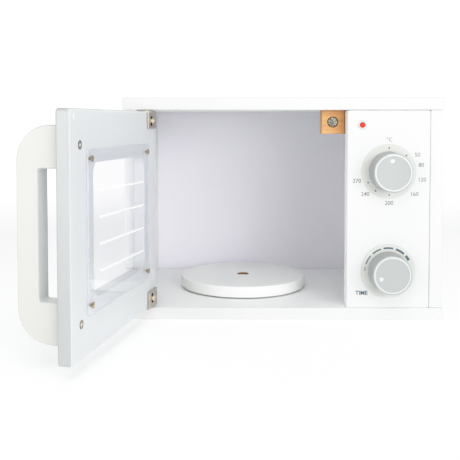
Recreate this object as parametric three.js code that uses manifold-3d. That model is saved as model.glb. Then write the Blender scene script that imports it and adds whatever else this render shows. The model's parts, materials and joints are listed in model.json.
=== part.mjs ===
// Toy microwave of painted boards, with its door standing open
// Millimetres. +X is to the right, +Y is into the oven, +Z is up.
// The origin is the centre of the bottom board's underside.

import * as THREE from 'three';
import Module from 'manifold-3d';
import { RoundedBoxGeometry } from 'three/addons/geometries/RoundedBoxGeometry.js';
import { mergeVertices } from 'three/addons/utils/BufferGeometryUtils.js';

const wasm = await Module();
wasm.setup();

// Gaps
const fitClearance = 0.3;      // round a dowel, screw or pin in its hole
const runningGap = 0.3;        // under a piece that turns
const seatGap = 0.3;           // under a piece that is screwed to the door
const overrun = 2;             // how far a cutting tool passes a face

// Case boards
const caseWidth = 310;
const boardDepth = 190;
const boardThickness = 12;
const sideHeight = 191.5;
const sideOverhang = 1.8;      // top and bottom boards past the side boards
const boardEdgeRadius = 1.1;

// Back panel
const backThickness = 4;
const backInset = 1.8;
const backEdgeRadius = 0.6;

// Control panel
const panelWidth = 79.5;
const panelThickness = 17;
const panelSideGap = 0.3;
const panelTopGap = 0.3;
const panelEdgeRadius = 1.1;

// Dowels
const caseDowelRadius = 3;
const caseDowelSpacing = 120;
const caseDowelInBoard = 8;
const caseDowelInSide = 15;
const panelDowelRadius = 2.5;
const panelDowelSpacing = 36;
const panelDowelInBoard = 7;
const panelDowelInPanel = 12;

// Door panel
const doorThickness = 11;
const hingeGap = 2.4;
const latchGap = 1.2;
const doorEndGap = 1.25;
const doorEdgeRadius = 1.5;
const doorCornerRadius = 3;
const openAngle = THREE.MathUtils.degToRad(101.7);

// Door window
const windowFromHinge = 34.4;  // from the door's hinge edge
const windowFromLatch = 45;    // from the door's free edge
const windowFromEnd = 42;      // from the door's top and bottom edges
const windowCornerRadius = 9;

// Window pane
const paneLapHinge = 10.4;     // pane past the window, towards the hinge
const paneLapLatch = 16;       // pane past the window, towards the free edge
const paneLapEnd = 11.5;       // pane past the window, above and below
const paneThickness = 2;
const paneCornerRadius = 1.5;
const paneScrewInset = 6.4;
const paneScrewRise = 7.6;     // pane screw from the pane's top or bottom edge

// Door handle
const handleThickness = 17;
const handleFromLatch = 19;    // handle's middle from the door's free edge
const handleReach = 36.7;
const handleHeight = 164.8;
const gripWidth = 17.6;
const legHeight = 32.65;
const handleCornerRadius = 27;
const slotCornerRadius = 1.6;
const handleEdgeRadius = 1.3;
const handleScrewInset = 15.1;     // from the handle's top and bottom ends

// Hinge brackets and pins
const pivotInset = 7.8;        // pivot from the door's hinge edge
const pivotDepth = 6;          // pivot from the door's outer face
const bracketThickness = 1.8;
const leafInset = 3;
const leafWidth = 23;
const leafHeight = 17.2;
const armProud = 0.45;         // arm above the door's edge
const armEndDepth = 2.4;       // arm's end from the door's outer face
const leafSlotWidth = 4.6;
const leafSlotHeight = 9;
const leafSlotInset = 14.5;    // slot's centre from the leaf's hinge end
const pinRadius = 2;
const pinInBoard = 7;
const pinInDoor = 3;
const pinDoorClearance = 0.6;  // round the pin in the door
const hingeWasherRadius = 4.5;
const hingeWasherThickness = 0.5;

// Catch
const blockWidth = 34;
const blockShow = 22.8;         // block past the control panel's edge
const blockHeight = 23.2;
const blockDepth = 16;
const blockEdgeRadius = 0.5;
const magnetRadius = 5;
const magnetThickness = 4;
const magnetFromLatch = 12;    // magnet's centre from the control panel's edge
const strikerRadius = 3;
const strikerThickness = 1.5;
const strikerProud = 0.5;
const strikerFromTop = 6.3;    // striker's centre from the door's top edge

// Turntable
const turntableRadius = 68;
const turntableThickness = 11.5;
const turntableEdgeRadius = 1.6;
const turntableRightOfMiddle = 1.9;    // of the opening between the left side board and the panel
const turntableBehindMiddle = 6;       // of the boards' depth
const turntableBoreRadius = 3;
const turntablePocketRadius = 6.5;
const turntablePocketDepth = 5.5;
const spindleHeadRadius = 5.9;
const spindleHeadHeight = 3.2;
const spindleInBoard = 8;
const turntableWasherRadius = 11;
const turntableWasherThickness = 0.9;

// Dials and knobs
const knobFromRight = 39.9;    // knob axis from the right side board
const temperatureDrop = 59;        // knob axis from the top board's underside
const timerRise = 36.1;        // knob axis from the bottom board's top face
const dialRadius = 26.3;
const dialThickness = 0.8;
const dialEdgeRadius = 0.5;
const knobBaseRadius = 19.2;
const knobFaceRadius = 17.9;
const knobReach = 22.5;        // knob's face from the control panel
const knobShoulderRadius = 1.1;    // rounds the knob's rim, outside its lip
const knobLipWidth = 1.1;
const knobFaceRecess = 0.5;
const knobDotRadius = 2;
const knobDotInset = 6.9;      // dot's centre from the knob's rim
const knobDotDepth = 0.5;
const knobBoreDepth = 13;
const temperatureDotTurn = THREE.MathUtils.degToRad(-6);   // clockwise from the top
const timerDotTurn = THREE.MathUtils.degToRad(-109);
const knobSpindleRadius = 3;
const knobSpindleHeadRadius = 5;
const knobSpindleHeadHeight = 2.6;
const knobWasherRadius = 7;
const knobWasherThickness = 1;

// Indicator
const indicatorFromEdge = 14.2;    // from the control panel's door edge
const indicatorDrop = 14.4;    // from the top board's underside
const indicatorLensRadius = 2.6;
const indicatorLensRise = 1.6;
const indicatorStemLength = 8;
const indicatorCollarRadius = 4.6;
const indicatorCollarHeight = 0.9;

// Screws
const backScrew = { headRadius: 3.2, headHeight: 1.8, shankRadius: 1.4, length: 16 };
const paneScrew = { headRadius: 2.5, headHeight: 1, shankRadius: 1.2, length: 9.5 };
const hingeScrew = { headRadius: 2.9, headHeight: 1.2, shankRadius: 1.4, length: 10 };
const handleScrew = { headRadius: 3.5, sinkDepth: 1.7, rim: 0.3, shankRadius: 1.8, length: 29 };
const catchScrew = { headRadius: 3.6, headHeight: 2.2, shankRadius: 1.7, length: 30 };
const backScrewDrop = 30;      // side screws from the case's top and underside
const handleScrewProud = 0.2;  // head past the door's inner face
const sinkClearance = 0.45;    // round a countersunk head

// Facet counts
const smallFacets = 16;
const roundFacets = 40;
const wideFacets = 72;

// Worked out from the sizes above
const caseHeight = sideHeight + 2 * boardThickness;
const frontY = -boardDepth / 2;
const backY = boardDepth / 2;
const floorZ = boardThickness;
const ceilingZ = floorZ + sideHeight;
const sideInnerX = caseWidth / 2 - sideOverhang - boardThickness;
const sideMiddleX = sideInnerX + boardThickness / 2;
const panelRightX = sideInnerX - panelSideGap;
const panelLeftX = panelRightX - panelWidth;
const panelMiddleX = (panelLeftX + panelRightX) / 2;
const panelHeight = sideHeight - panelTopGap;
const panelBackY = frontY + panelThickness;
const openingWidth = panelLeftX + sideInnerX;
const knobX = sideInnerX - knobFromRight;
const temperatureZ = ceilingZ - temperatureDrop;
const timerZ = floorZ + timerRise;
const indicatorX = panelLeftX + indicatorFromEdge;
const indicatorZ = ceilingZ - indicatorDrop;
const turntableX = (panelLeftX - sideInnerX) / 2 + turntableRightOfMiddle;
const turntableY = (frontY + backY) / 2 + turntableBehindMiddle;
const blockLeftX = panelLeftX - blockShow;
const blockMiddleZ = ceilingZ - blockHeight / 2;
const catchScrewPlace = { x: panelLeftX + (blockWidth - blockShow) / 2, y: panelBackY + blockDepth / 2 };
const turntableZ = floorZ + turntableWasherThickness + runningGap;
const turntableShankRadius = turntableBoreRadius - fitClearance;

// Door sizes, from the pivot: x runs from the hinge edge to the free edge of the closed door
const doorWidth = openingWidth - hingeGap - latchGap;
const doorHeight = sideHeight - 2 * doorEndGap;
const doorBottomZ = floorZ + doorEndGap;
const doorTopZ = doorBottomZ + doorHeight;
const doorMiddleZ = (doorBottomZ + doorTopZ) / 2;
const windowWidth = doorWidth - windowFromHinge - windowFromLatch;
const windowHeight = doorHeight - 2 * windowFromEnd;
const doorLeft = -pivotInset;
const outerY = -pivotDepth;
const innerY = outerY + doorThickness;
const pivotX = -sideInnerX + hingeGap + pivotInset;
const pivotY = frontY + pivotDepth;
const magnetX = panelLeftX - magnetFromLatch;
const strikerX = magnetX - pivotX;
const strikerZ = doorTopZ - strikerFromTop;
const handleX = doorLeft + doorWidth - handleFromLatch;
const slotHeight = handleHeight - 2 * legHeight;
const handleScrewSpacing = handleHeight - 2 * handleScrewInset;
const leafLeft = doorLeft + leafInset;
const armUnderside = armProud - bracketThickness;
const armNotchDepth = seatGap - armUnderside;

// Materials
function finish(color, roughness, metalness = 0) {
  return new THREE.MeshStandardMaterial({ color, roughness, metalness });
}

const whitePaint = finish(0xf2f3f1, 0.42);
const coolPaint = finish(0xe3e7ea, 0.4);
const palePanel = finish(0xd9d7e0, 0.6);
const handlePaint = finish(0xf1f1ec, 0.45);
const beech = finish(0xe0ad74, 0.6);
const dowelWood = finish(0xdcbc8c, 0.7);
const steel = finish(0xb5b0a8, 0.35, 1);
const nickel = finish(0x9a9c98, 0.3, 1);
const nylon = finish(0xe8e6df, 0.5);
const dialPlastic = finish(0xdfe1da, 0.5);
const knobPlastic = finish(0xd0d6d4, 0.38);
const redLens = finish(0xe8402c, 0.15);
const clearPane = new THREE.MeshStandardMaterial({
  color: 0xf4f8fa,
  roughness: 0.05,
  transparent: true,
  opacity: 0.25,
});

// Solids

function toSolid(geometry) {
  const bare = geometry.clone();
  bare.deleteAttribute('normal');
  bare.deleteAttribute('uv');
  const merged = mergeVertices(bare);
  return new wasm.Manifold(new wasm.Mesh({
    numProp: 3,
    vertProperties: new Float32Array(merged.attributes.position.array),
    triVerts: new Uint32Array(merged.index.array),
  }));
}

function toGeometry(solid) {
  const mesh = solid.getMesh();
  const geometry = new THREE.BufferGeometry();
  geometry.setAttribute('position', new THREE.BufferAttribute(mesh.vertProperties, 3));
  geometry.setIndex(new THREE.BufferAttribute(mesh.triVerts, 1));
  geometry.computeVertexNormals();
  return geometry;
}

// The body with every tool taken away
function cut(body, tools) {
  let solid = toSolid(body);
  for (const tool of tools) {
    solid = solid.subtract(toSolid(tool));
  }
  return toGeometry(solid);
}

// A board given by its lowest and highest corners
function board(low, high, edgeRadius) {
  const size = high.clone().sub(low);
  const middle = high.clone().add(low).divideScalar(2);
  const geometry = new RoundedBoxGeometry(size.x, size.y, size.z, 1, edgeRadius);
  return geometry.translate(middle.x, middle.y, middle.z);
}

// A block with sharp edges, given by its lowest and highest corners
function block(low, high) {
  const size = high.clone().sub(low);
  const middle = high.clone().add(low).divideScalar(2);
  const geometry = new THREE.BoxGeometry(size.x, size.y, size.z);
  return geometry.translate(middle.x, middle.y, middle.z);
}

// A round rod that stands on (x, y, z) and rises along +Z
function rodUp(radius, length, x, y, z, facets = smallFacets) {
  const geometry = new THREE.CylinderGeometry(radius, radius, length, facets);
  return geometry.rotateX(Math.PI / 2).translate(x, y, z + length / 2);
}

// A round rod that starts at (x, y, z) and runs along +Y
function rodIn(radius, length, x, y, z, facets = smallFacets) {
  const geometry = new THREE.CylinderGeometry(radius, radius, length, facets);
  return geometry.translate(x, y + length / 2, z);
}

// A turned solid about the Y axis: pairs of radius and height, from the low end up
function turned(profile, facets) {
  const points = profile.map(([radius, height]) => new THREE.Vector2(radius, height));
  return new THREE.LatheGeometry(points, facets);
}

// The same solid stood up along +Z
function turnedUp(profile, facets) {
  return turned(profile, facets).rotateX(Math.PI / 2);
}

// A flat ring between two radii, lying on height 0
function ring(outerRadius, innerRadius, thickness) {
  return [
    [innerRadius, 0],
    [outerRadius, 0],
    [outerRadius, thickness],
    [innerRadius, thickness],
    [innerRadius, 0],
  ];
}

// A screw with a domed head. Height 0 is the head's seat, and the shank runs below it.
function screwProfile({ headRadius, headHeight, shankRadius, length }) {
  const tipShare = 0.7;
  const rimShare = 0.45;
  const crownShare = 0.72;
  return [
    [0, -length],
    [shankRadius, shankRadius / tipShare - length],
    [shankRadius, 0],
    [headRadius, 0],
    [headRadius, headHeight * rimShare],
    [headRadius * crownShare, headHeight],
    [0, headHeight],
  ];
}

// A screw with a flat head that is sunk to its rim. Height 0 is the face that the head is sunk into.
function sunkProfile({ headRadius, sinkDepth, rim, shankRadius, length }, proud) {
  const tipShare = 0.7;
  return [
    [0, -length],
    [shankRadius, shankRadius / tipShare - length],
    [shankRadius, proud - rim - sinkDepth],
    [headRadius, proud - rim],
    [headRadius, proud],
    [0, proud],
  ];
}

// The cone that a sunk head leaves in the face at y, open past the face
function sinkHole(screw, proud, x, y, z) {
  const cone = [
    [0, proud - screw.rim - screw.sinkDepth],
    [screw.shankRadius + sinkClearance, proud - screw.rim - screw.sinkDepth],
    [screw.headRadius + sinkClearance, proud - screw.rim],
    [screw.headRadius + sinkClearance, overrun],
    [0, overrun],
  ];
  return turned(cone, smallFacets * 2).translate(x, y, z);
}

// The hole that a screw leaves, open past its seat
function screwHole(screw, x, y, z) {
  const depth = screw.length + fitClearance;
  return rodIn(screw.shankRadius + fitClearance, depth + overrun, x, y - depth, z);
}

// A rounded rectangle, given by its lowest and highest corners
function roundedOutline(path, left, low, right, high, radius) {
  path.moveTo(left + radius, low);
  path.lineTo(right - radius, low);
  path.absarc(right - radius, low + radius, radius, -Math.PI / 2, 0);
  path.lineTo(right, high - radius);
  path.absarc(right - radius, high - radius, radius, 0, Math.PI / 2);
  path.lineTo(left + radius, high);
  path.absarc(left + radius, high - radius, radius, Math.PI / 2, Math.PI);
  path.lineTo(left, low + radius);
  path.absarc(left + radius, low + radius, radius, Math.PI, Math.PI * 1.5);
  return path;
}

// A board cut to an outline, with softened edges, from 0 to its thickness
function sawn(shape, thickness, edgeRadius, curveSegments) {
  const geometry = new THREE.ExtrudeGeometry(shape, {
    depth: thickness - 2 * edgeRadius,
    bevelEnabled: true,
    bevelThickness: edgeRadius,
    bevelSize: edgeRadius,
    bevelOffset: -edgeRadius,
    bevelSegments: 2,
    curveSegments,
  });
  return geometry.translate(0, 0, edgeRadius);
}

const microwave = new THREE.Group();

function piece(name, geometry, material, parent = microwave) {
  const mesh = new THREE.Mesh(geometry, material);
  mesh.name = name;
  parent.add(mesh);
  return mesh;
}

// Places of the fasteners in the case

const caseDowels = [];
for (const side of [-1, 1]) {
  for (const along of [-1, 1]) {
    caseDowels.push({ x: side * sideMiddleX, y: along * caseDowelSpacing / 2 });
  }
}

const panelDowels = [];
for (const along of [-1, 1]) {
  panelDowels.push({ x: panelMiddleX + along * panelDowelSpacing / 2, y: frontY + panelThickness / 2 });
}

const backScrewPlaces = [
  { x: -sideMiddleX, z: caseHeight - backScrewDrop },
  { x: sideMiddleX, z: caseHeight - backScrewDrop },
  { x: -sideMiddleX, z: backScrewDrop },
  { x: sideMiddleX, z: backScrewDrop },
  { x: 0, z: caseHeight - boardThickness / 2 },
  { x: 0, z: boardThickness / 2 },
];

// Blind holes for dowels: from the low face up into a board, or from a top face down
function dowelHoleUp(place, radius, depth, faceZ) {
  return rodUp(radius + fitClearance, depth + fitClearance + overrun, place.x, place.y, faceZ - overrun);
}

function dowelHoleDown(place, radius, depth, faceZ) {
  const reach = depth + fitClearance;
  return rodUp(radius + fitClearance, reach + overrun, place.x, place.y, faceZ - reach);
}

// The hole for a back screw, from the back panel's rear face
function backScrewHole(place) {
  return screwHole(backScrew, place.x, backY + backThickness, place.z);
}

function makeTopBoard() {
  const body = board(
    new THREE.Vector3(-caseWidth / 2, frontY, ceilingZ),
    new THREE.Vector3(caseWidth / 2, backY, caseHeight),
    boardEdgeRadius,
  );
  const tools = [backScrewHole(backScrewPlaces[4])];
  for (const place of caseDowels) {
    tools.push(dowelHoleUp(place, caseDowelRadius, caseDowelInBoard, ceilingZ));
  }
  for (const place of panelDowels) {
    tools.push(dowelHoleUp(place, panelDowelRadius, panelDowelInBoard, ceilingZ));
  }
  tools.push(dowelHoleUp({ x: pivotX, y: pivotY }, pinRadius, pinInBoard, ceilingZ));
  const screwReach = catchScrew.length - blockHeight;
  tools.push(dowelHoleUp(catchScrewPlace, catchScrew.shankRadius, screwReach, ceilingZ));
  piece('top_board', cut(body, tools), whitePaint);
}

function makeBottomBoard() {
  const body = board(
    new THREE.Vector3(-caseWidth / 2, frontY, 0),
    new THREE.Vector3(caseWidth / 2, backY, boardThickness),
    boardEdgeRadius,
  );
  const tools = [backScrewHole(backScrewPlaces[5])];
  for (const place of caseDowels) {
    tools.push(dowelHoleDown(place, caseDowelRadius, caseDowelInBoard, floorZ));
  }
  for (const place of panelDowels) {
    tools.push(dowelHoleDown(place, panelDowelRadius, panelDowelInBoard, floorZ));
  }
  tools.push(dowelHoleDown({ x: pivotX, y: pivotY }, pinRadius, pinInBoard, floorZ));
  tools.push(dowelHoleDown({ x: turntableX, y: turntableY }, turntableShankRadius, spindleInBoard, floorZ));
  piece('bottom_board', cut(body, tools), whitePaint);
}

function makeSideBoard(name, side) {
  const innerX = side * sideInnerX;
  const outerX = side * (sideInnerX + boardThickness);
  const body = board(
    new THREE.Vector3(Math.min(innerX, outerX), frontY, floorZ),
    new THREE.Vector3(Math.max(innerX, outerX), backY, ceilingZ),
    boardEdgeRadius,
  );
  const tools = [];
  for (const place of caseDowels.filter((dowel) => dowel.x * side > 0)) {
    tools.push(dowelHoleUp(place, caseDowelRadius, caseDowelInSide, floorZ));
    tools.push(dowelHoleDown(place, caseDowelRadius, caseDowelInSide, ceilingZ));
  }
  for (const place of backScrewPlaces.filter((screw) => screw.x * side > 0)) {
    tools.push(backScrewHole(place));
  }
  piece(name, cut(body, tools), whitePaint);
}

function makeCaseDowels() {
  let count = 0;
  for (const place of caseDowels) {
    const length = caseDowelInBoard + caseDowelInSide;
    count += 1;
    const low = rodUp(caseDowelRadius, length, place.x, place.y, floorZ - caseDowelInBoard);
    piece(`case_dowel_${count}`, low, dowelWood);
    count += 1;
    const high = rodUp(caseDowelRadius, length, place.x, place.y, ceilingZ - caseDowelInSide);
    piece(`case_dowel_${count}`, high, dowelWood);
  }
}

function makeBackPanel() {
  const halfWidth = caseWidth / 2 - backInset;
  const body = board(
    new THREE.Vector3(-halfWidth, backY, backInset),
    new THREE.Vector3(halfWidth, backY + backThickness, caseHeight - backInset),
    backEdgeRadius,
  );
  piece('back_panel', cut(body, backScrewPlaces.map(backScrewHole)), palePanel);
  backScrewPlaces.forEach((place, index) => {
    const screw = turned(screwProfile(backScrew), smallFacets);
    screw.translate(place.x, backY + backThickness, place.z);
    piece(`back_screw_${index + 1}`, screw, steel);
  });
}

function makeControlPanel() {
  const body = board(
    new THREE.Vector3(panelLeftX, frontY, floorZ),
    new THREE.Vector3(panelRightX, panelBackY, floorZ + panelHeight),
    panelEdgeRadius,
  );
  const tools = [];
  const through = panelThickness + 2 * overrun;
  for (const z of [temperatureZ, timerZ]) {
    tools.push(rodIn(knobSpindleRadius + fitClearance, through, knobX, frontY - overrun, z));
  }
  const stemHole = indicatorStemLength + fitClearance + overrun;
  tools.push(rodIn(indicatorLensRadius + fitClearance, stemHole, indicatorX, frontY - overrun, indicatorZ));
  for (const place of panelDowels) {
    tools.push(dowelHoleUp(place, panelDowelRadius, panelDowelInPanel, floorZ));
    tools.push(dowelHoleDown(place, panelDowelRadius, panelDowelInPanel, floorZ + panelHeight));
  }
  piece('control_panel', cut(body, tools), whitePaint);

  let count = 0;
  for (const place of panelDowels) {
    const length = panelDowelInBoard + panelDowelInPanel;
    count += 1;
    const low = rodUp(panelDowelRadius, length, place.x, place.y, floorZ - panelDowelInBoard);
    piece(`panel_dowel_${count}`, low, dowelWood);
    count += 1;
    const high = rodUp(panelDowelRadius, length, place.x, place.y, ceilingZ + panelDowelInBoard - length);
    piece(`panel_dowel_${count}`, high, dowelWood);
  }
}

// A dial plate, its knob, and the spindle and washer behind it
function makeDial(name, z, dotTurn) {
  const plate = [
    [knobSpindleRadius + fitClearance, 0],
    [dialRadius, 0],
    [dialRadius, dialThickness - dialEdgeRadius],
    [dialRadius - dialEdgeRadius, dialThickness],
    [knobSpindleRadius + fitClearance, dialThickness],
    [knobSpindleRadius + fitClearance, 0],
  ];
  // The plate's height axis is turned to point out of the panel, along -Y
  const plateGeometry = turned(plate, wideFacets).rotateX(Math.PI);
  piece(`${name}_dial`, plateGeometry.translate(knobX, frontY, z), dialPlastic);

  const knobLength = knobReach - dialThickness - runningGap;
  const boreRadius = knobSpindleRadius + fitClearance;
  const shoulder = knobShoulderRadius;
  const shoulderCut = shoulder * (1 - Math.SQRT1_2);
  const lipInner = knobFaceRadius - shoulder - knobLipWidth;
  const knob = [
    [0, knobBoreDepth],
    [boreRadius, knobBoreDepth],
    [boreRadius, 0],
    [knobBaseRadius, 0],
    [knobFaceRadius, knobLength - shoulder],
    [knobFaceRadius - shoulderCut, knobLength - shoulderCut],
    [knobFaceRadius - shoulder, knobLength],
    [lipInner, knobLength],
    [lipInner - knobFaceRecess, knobLength - knobFaceRecess],
    [0, knobLength - knobFaceRecess],
  ];
  const dotRing = knobFaceRadius - knobDotInset;
  const dotFloor = knobLength - knobFaceRecess - knobDotDepth;
  const dotTool = rodIn(knobDotRadius, knobDotDepth + overrun, 0, dotFloor, 0);
  dotTool.translate(0, 0, -dotRing);
  dotTool.rotateY(-dotTurn);
  const knobGeometry = cut(turned(knob, roundFacets), [dotTool]).rotateX(Math.PI);
  const knobY = frontY - dialThickness - runningGap;
  piece(`${name}_knob`, knobGeometry.translate(knobX, knobY, z), knobPlastic);

  const headY = panelBackY + knobWasherThickness + runningGap;
  const shankStart = knobY - knobBoreDepth + runningGap;
  const spindle = [
    [0, shankStart - headY],
    [knobSpindleRadius, shankStart - headY],
    [knobSpindleRadius, 0],
    [knobSpindleHeadRadius, 0],
    [knobSpindleHeadRadius, knobSpindleHeadHeight],
    [0, knobSpindleHeadHeight],
  ];
  piece(`${name}_spindle`, turned(spindle, smallFacets).translate(knobX, headY, z), steel);

  const washer = turned(ring(knobWasherRadius, boreRadius, knobWasherThickness), smallFacets);
  piece(`${name}_washer`, washer.translate(knobX, panelBackY, z), nylon);
}

function makeIndicator() {
  const collarInner = indicatorLensRadius + fitClearance;
  const collarSlope = indicatorCollarHeight / 2;
  const collar = [
    [collarInner, 0],
    [indicatorCollarRadius, 0],
    [indicatorCollarRadius - collarSlope, indicatorCollarHeight],
    [collarInner, indicatorCollarHeight],
    [collarInner, 0],
  ];
  const collarGeometry = turned(collar, smallFacets * 2).rotateX(Math.PI);
  piece('indicator_collar', collarGeometry.translate(indicatorX, frontY, indicatorZ), nylon);

  const domeSteps = 4;
  const lens = [
    [0, -indicatorStemLength],
    [indicatorLensRadius, -indicatorStemLength],
  ];
  for (let step = 0; step <= domeSteps; step += 1) {
    const turn = (step / domeSteps) * Math.PI / 2;
    const domeRise = indicatorLensRise - indicatorCollarHeight;
    const radius = step === domeSteps ? 0 : indicatorLensRadius * Math.cos(turn);
    lens.push([radius, indicatorCollarHeight + domeRise * Math.sin(turn)]);
  }
  const lensGeometry = turned(lens, smallFacets * 2).rotateX(Math.PI);
  piece('indicator_lens', lensGeometry.translate(indicatorX, frontY, indicatorZ), redLens);
}

function makeCatch() {
  const body = board(
    new THREE.Vector3(blockLeftX, panelBackY, ceilingZ - blockHeight),
    new THREE.Vector3(blockLeftX + blockWidth, panelBackY + blockDepth, ceilingZ),
    blockEdgeRadius,
  );
  const magnetHole = magnetThickness + fitClearance + overrun;
  const underside = ceilingZ - blockHeight;
  const shankHole = rodUp(
    catchScrew.shankRadius + fitClearance,
    blockHeight + 2 * overrun,
    catchScrewPlace.x,
    catchScrewPlace.y,
    underside - overrun,
  );
  const magnetTool = rodIn(
    magnetRadius + fitClearance,
    magnetHole,
    magnetX,
    panelBackY - overrun,
    blockMiddleZ,
    roundFacets,
  );
  piece('catch_block', cut(body, [magnetTool, shankHole]), beech);
  const magnet = rodIn(magnetRadius, magnetThickness, magnetX, panelBackY, blockMiddleZ, roundFacets);
  piece('catch_magnet', magnet, nickel);

  // The screw points up: its head is under the block
  const screw = turned(screwProfile(catchScrew), smallFacets).rotateX(-Math.PI / 2);
  piece('catch_screw', screw.translate(catchScrewPlace.x, catchScrewPlace.y, underside), steel);
}

function makeTurntable() {
  const washerShape = ring(turntableWasherRadius, turntableBoreRadius, turntableWasherThickness);
  const washer = turnedUp(washerShape, smallFacets * 2);
  piece('turntable_washer', washer.translate(turntableX, turntableY, floorZ), nylon);

  const top = turntableThickness;
  const soft = turntableEdgeRadius;
  const pocketFloor = top - turntablePocketDepth;
  const disc = [
    [turntableBoreRadius, 0],
    [turntableRadius - soft, 0],
    [turntableRadius, soft],
    [turntableRadius, top - soft],
    [turntableRadius - soft * (1 - Math.SQRT1_2), top - soft * (1 - Math.SQRT1_2)],
    [turntableRadius - soft, top],
    [turntablePocketRadius, top],
    [turntablePocketRadius, pocketFloor],
    [turntableBoreRadius, pocketFloor],
    [turntableBoreRadius, 0],
  ];
  piece('turntable', turnedUp(disc, wideFacets).translate(turntableX, turntableY, turntableZ), whitePaint);

  const seatZ = turntableZ + pocketFloor + runningGap;
  const spindle = [
    [0, floorZ - spindleInBoard - seatZ],
    [turntableShankRadius, floorZ - spindleInBoard - seatZ],
    [turntableShankRadius, 0],
    [spindleHeadRadius, 0],
    [spindleHeadRadius, spindleHeadHeight],
    [0, spindleHeadHeight],
  ];
  const spindleSolid = turnedUp(spindle, smallFacets * 2);
  piece('turntable_spindle', spindleSolid.translate(turntableX, turntableY, seatZ), nylon);
}

// The door and what it carries turn together about the hinge pins
const door = new THREE.Group();
door.position.set(pivotX, pivotY, 0);
door.rotation.z = -openAngle;
microwave.add(door);

const paneLeft = doorLeft + windowFromHinge - paneLapHinge;
const paneWidth = paneLapHinge + windowWidth + paneLapLatch;
const paneHeight = windowHeight + 2 * paneLapEnd;
const paneScrewPlaces = [];
for (const high of [1, -1]) {
  for (const x of [paneLeft + paneScrewInset, paneLeft + paneWidth - paneScrewInset]) {
    paneScrewPlaces.push({ x, z: doorMiddleZ + high * (paneHeight / 2 - paneScrewRise) });
  }
}
const paneOuterY = innerY + seatGap + paneThickness;
const leafOuterY = innerY + seatGap + bracketThickness;
const slotX = leafLeft + leafSlotInset;
const slotFromEnd = leafHeight / 2 - armUnderside / 2;

// A piece at the top of the door, or the same piece turned over for its bottom
function turnOver(geometry, high) {
  if (high > 0) {
    return geometry;
  }
  const flipped = toSolid(geometry).mirror([0, 0, 1]).translate([0, 0, 2 * doorMiddleZ]);
  return toGeometry(flipped);
}

function makeDoorPanel() {
  const shape = new THREE.Shape();
  const right = doorLeft + doorWidth;
  roundedOutline(shape, doorLeft, doorBottomZ, right, doorTopZ, doorCornerRadius);
  const windowLeft = doorLeft + windowFromHinge;
  const windowLow = doorMiddleZ - windowHeight / 2;
  const hole = roundedOutline(
    new THREE.Path(),
    windowLeft,
    windowLow,
    windowLeft + windowWidth,
    windowLow + windowHeight,
    windowCornerRadius,
  );
  shape.holes.push(hole);
  const body = sawn(shape, doorThickness, doorEdgeRadius, 6);
  body.rotateX(Math.PI / 2).translate(0, innerY, 0);

  const tools = [];
  for (const place of paneScrewPlaces) {
    tools.push(screwHole(paneScrew, place.x, paneOuterY + seatGap, place.z));
  }
  for (const high of [1, -1]) {
    const screwZ = doorMiddleZ + high * handleScrewSpacing / 2;
    const handleHole = doorThickness + 2 * overrun;
    tools.push(rodIn(handleScrew.shankRadius + fitClearance, handleHole, handleX, outerY - overrun, screwZ));
    tools.push(sinkHole(handleScrew, handleScrewProud, handleX, innerY, screwZ));

    // The arm is let into the door's edge, and the pin runs on below it
    const notch = block(
      new THREE.Vector3(leafLeft - seatGap, outerY + armEndDepth - seatGap, doorTopZ + armUnderside - seatGap),
      new THREE.Vector3(leafLeft + leafWidth + seatGap, innerY + overrun, doorTopZ + overrun),
    );
    tools.push(turnOver(notch, high));
    const pinHoleZ = doorTopZ - armNotchDepth - pinInDoor;
    const pinHole = rodUp(pinRadius + pinDoorClearance, pinInDoor + overrun, 0, 0, pinHoleZ);
    tools.push(turnOver(pinHole, high));
    const leafScrewZ = doorMiddleZ + high * (doorHeight / 2 - slotFromEnd);
    tools.push(screwHole(hingeScrew, slotX, leafOuterY + seatGap, leafScrewZ));
  }
  const strikerSeat = strikerThickness - strikerProud + seatGap;
  tools.push(rodIn(
    strikerRadius + fitClearance,
    strikerSeat + overrun,
    strikerX,
    innerY - strikerSeat,
    strikerZ,
    smallFacets * 2,
  ));
  piece('door_panel', cut(body, tools), coolPaint, door);

  const striker = rodIn(
    strikerRadius,
    strikerThickness,
    strikerX,
    innerY + strikerProud - strikerThickness,
    strikerZ,
    smallFacets * 2,
  );
  piece('striker', striker, coolPaint, door);
}

function makeWindowPane() {
  const shape = new THREE.Shape();
  const low = doorMiddleZ - paneHeight / 2;
  roundedOutline(shape, paneLeft, low, paneLeft + paneWidth, low + paneHeight, paneCornerRadius);
  for (const place of paneScrewPlaces) {
    const hole = new THREE.Path();
    hole.absarc(place.x, place.z, paneScrew.shankRadius + fitClearance, 0, Math.PI * 2, true);
    shape.holes.push(hole);
  }
  const pane = new THREE.ExtrudeGeometry(shape, {
    depth: paneThickness,
    bevelEnabled: false,
    curveSegments: 6,
  });
  piece('window_pane', pane.rotateX(Math.PI / 2).translate(0, paneOuterY, 0), clearPane, door);

  paneScrewPlaces.forEach((place, index) => {
    const screw = turned(screwProfile(paneScrew), smallFacets);
    piece(`pane_screw_${index + 1}`, screw.translate(place.x, paneOuterY + seatGap, place.z), steel, door);
  });
}

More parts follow.
